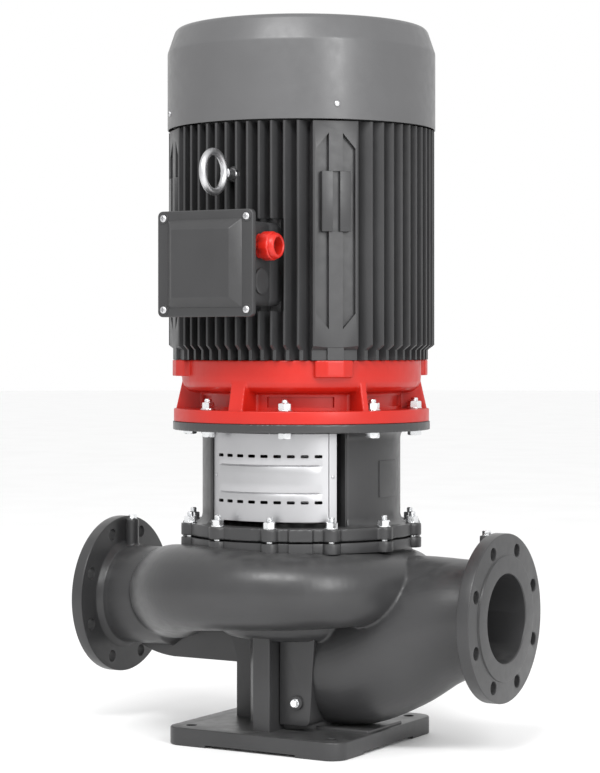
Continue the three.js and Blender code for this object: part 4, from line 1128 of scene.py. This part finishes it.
def thread(radius, low, high, pitch=2.0, plain=None):
    """A rod with its thread from plain up to high, and a chamfered tip."""
    profile = [(0, low), (radius, low)]
    at = low if plain is None else plain
    profile.append((radius, at))
    while at + pitch < high - 1.5:
        profile += [(radius, at + 0.2 * pitch), (radius - 0.9, at + 0.6 * pitch)]
        at += pitch
    profile += [(radius, at), (radius - 1.6, high), (0, high)]
    return lathe(profile, 40)


def stud_piece():
    rod = thread(5.9, CLAMP_LOW + 3.3, LANTERN_FOOT_TOP + 20, 1.75, LANTERN_FOOT_TOP + 11)
    washer = tube(5.0, 11.5, LANTERN_FOOT_TOP + 0.3, LANTERN_FOOT_TOP + 2.2, 48, 0.4)
    return union(rod, washer, hex_head(19, LANTERN_FOOT_TOP + 2.0, LANTERN_FOOT_TOP + 12))


def motor_bolt_piece():
    rod = thread(6.9, HEAD_LOW - 4, SHIELD_FLANGE_TOP + 19, 2.0, SHIELD_FLANGE_TOP + 12)
    head = hex_head(21, -10, -0.3)
    moved(head, Matrix.Scale(-1, 4, (0, 0, 1)))
    head.data.flip_normals()
    shifted(head, z=HEAD_LOW - 10.3)
    washer = tube(6.0, 13, SHIELD_FLANGE_TOP + 0.3, SHIELD_FLANGE_TOP + 2.4, 48, 0.4)
    return union(rod, head, washer, hex_head(21, SHIELD_FLANGE_TOP + 2.2, SHIELD_FLANGE_TOP + 13.5))


def plug_piece(radius, depth, across, height):
    shank = disc(radius, -depth, 2, 32)
    washer = disc(across * 0.62, 0.3, 1.6, 40, 0.3)
    return union(shank, washer, hex_head(across, 1.4, height))


# ---------- Assembly ----------


def assemble():
    finished(casing_piece(), "casing_casting", "dark_paint", "pump_casing")
    finished(lantern_piece(), "lantern_casting", "dark_paint", "lantern")
    finished(shield_piece(), "shield_casting", "red_paint", "drive_end_shield")
    finished(frame_piece(), "finned_frame", "frame_paint", "motor_frame")
    finished(cowl_piece(), "cowl_shell", "cowl_paint", "fan_cowl")

    half_turn = Matrix.Rotation(math.pi, 4, "Z")
    guard = finished(guard_piece(), "guard_sheet_front", "stainless_sheet", "coupling_guard_front")
    copied(guard, "guard_sheet_rear", "coupling_guard_rear", half_turn)

    finished(box_piece(), "terminal_housing", "frame_paint", "terminal_box")
    finished(cover_piece(), "terminal_lid", "frame_paint", "terminal_box_cover")
    finished(gland_body_piece(), "gland_collar", "red_plastic", "cable_gland")
    finished(gland_nut_piece(), "gland_clamp", "red_plastic", "cable_gland_nut")
    finished(gland_seal_piece(), "gland_seal", "rubber")
    finished(blanking_plug_piece(), "blanking_cap", "frame_paint", "blanking_plug")

    eye = finished(eye_piece(), "eye_front", "zinc_fasteners", "lifting_eye_front", material=FORGED_ZINC)
    copied(eye, "eye_rear", "lifting_eye_rear", half_turn)

    stud = shifted(stud_piece(), y=-STUD_CIRCLE)
    stud_places = turns(STUD_COUNT, STUD_START)
    repeated(stud, "stud_and_nut_{:02d}", "casing_stud_{:02d}", "zinc_fasteners", stud_places)
    bolt = shifted(motor_bolt_piece(), y=-STUD_CIRCLE)
    repeated(bolt, "bolt_and_nut_{}", "motor_bolt_{}", "zinc_fasteners", turns(BOLT_COUNT, BOLT_START))

    plug = shifted(plug_piece(5.0, 12, 13, 8), x=GAUGE_AT, z=GAUGE_TOP)
    finished(plug, "gauge_plug_suction", "zinc_fasteners", "suction_gauge_plug")
    copied(plug, "gauge_plug_discharge", "discharge_gauge_plug", half_turn)
    drain = shifted(facing_front(plug_piece(5.0, 14, 12, 7)), x=DRAIN_X, y=-DRAIN_DEPTH, z=DRAIN_HEIGHT)
    finished(drain, "drain_screw", "zinc_fasteners", "drain_plug")

    screw = facing_front(pan_screw(6.3, 4.2))
    lid_places = [Matrix.Translation(Vector((x, -314.5, COVER_MIDDLE + z)) * MM) for x, z in LID_SCREWS]
    repeated(screw, "lid_screw_{}", None, "zinc_fasteners", lid_places, FORGED_ZINC)

    small = facing_front(pan_screw(5.0, 3.4))
    on_cowl = Matrix.Translation(Vector((0, -236.0, COWL_SCREW_HEIGHT)) * MM)
    cowl_places = [turn @ on_cowl for turn in turns(4, 45)]
    repeated(small, "cowl_screw_{}", None, "zinc_fasteners", cowl_places, FORGED_ZINC)
    on_guard = Matrix.Translation(Vector((0, -170.1, GUARD_SCREW_HEIGHT)) * MM)
    for number, heading in enumerate(GUARD_SCREW_HEADINGS, 1):
        turn = Matrix.Rotation(heading * DEG, 4, "Z") @ on_guard
        copied(small, f"guard_screw_{number}", None, turn @ Matrix.Scale(0.55, 4))


NODE_FINISH = {
    "wear_ring": "bronze",
    "casing_cover": "machined_iron",
    "casing_gasket": "rubber",
    "seal_seat": "ceramic",
    "upper_end_shield": "frame_paint",
    "stator_core": "lamination",
    "stator_winding_lower": "copper_winding",
    "stator_winding_upper": "copper_winding",
    "lower_bearing_outer_race": "bright_steel",
    "upper_bearing_outer_race": "bright_steel",
    "terminal_board": "black_plastic",
    "motor_shaft": "bright_steel",
    "rotor_core": "lamination",
    "cooling_fan": "black_plastic",
    "lower_bearing_inner_race": "bright_steel",
    "upper_bearing_inner_race": "bright_steel",
    "shaft_coupling": "machined_iron",
    "pump_shaft": "bright_steel",
    "impeller": "bronze",
    "impeller_nut": "bright_steel",
    "seal_bellows": "rubber",
    "seal_rotating_ring": "ceramic",
}

# ---------- Stage ----------


def stage():
    floor = solid("floor", [(x, y, 0) for x, y in arc(30000, 0, 360, 96)[:-1]], [tuple(range(96))])
    made = Finish("pale_floor", Roughness=0.6)
    tone = made.noise(3.0)
    patches = made.ranged(tone, 0.3, 0.7)
    made.colour(made.mixed(patches, shade((0.93, 0.93, 0.93), 1), shade((0.96, 0.96, 0.96), 1)))
    floor.data.materials.append(made.material)

    world = bpy.data.worlds.new("studio")
    world.use_nodes = True
    sky = world.node_tree.nodes["Background"]
    sky.inputs["Color"].default_value = (1.0, 1.0, 1.0, 1.0)
    sky.inputs["Strength"].default_value = 1.0
    bpy.context.scene.world = world
    bpy.context.scene.view_settings.view_transform = "Standard"

    for name, heading, distance, height, width, tall, power in (
        ("key", 59, 3.2, 1.9, 0.8, 2.0, 58),
        ("overhead", 14, 2.6, 3.0, 1.9, 0.9, 90),
    ):
        lamp = bpy.data.lights.new(name, "AREA")
        lamp.shape = "RECTANGLE"
        lamp.size, lamp.size_y = width, tall
        lamp.energy = power
        light = bpy.data.objects.new(name, lamp)
        x, y = at_heading(heading, distance)
        light.location = (x, y, height)
        light.rotation_mode = "QUATERNION"
        aim = Vector((0, 0, 0.62)) - light.location
        light.rotation_quaternion = aim.to_track_quat("-Z", "Y")
        bpy.context.scene.collection.objects.link(light)


def camera():
    heading, distance, height = 30.45, 3.988, 0.695
    lens = bpy.data.cameras.new("view")
    lens.sensor_width = 36
    lens.lens = 105.16
    lens.shift_x = -0.0019
    lens.shift_y = -0.0546
    lens.clip_start, lens.clip_end = 0.05, 100
    eye = bpy.data.objects.new("view", lens)
    x, y = at_heading(heading, distance)
    eye.location = (x, y, height)
    eye.rotation_euler = (math.pi / 2, 0, heading * DEG)
    bpy.context.scene.collection.objects.link(eye)
    bpy.context.scene.camera = eye


camera()
stage()
assemble()
for node_name, finish_name in NODE_FINISH.items():
    hidden_finish(node_name, finish_name)
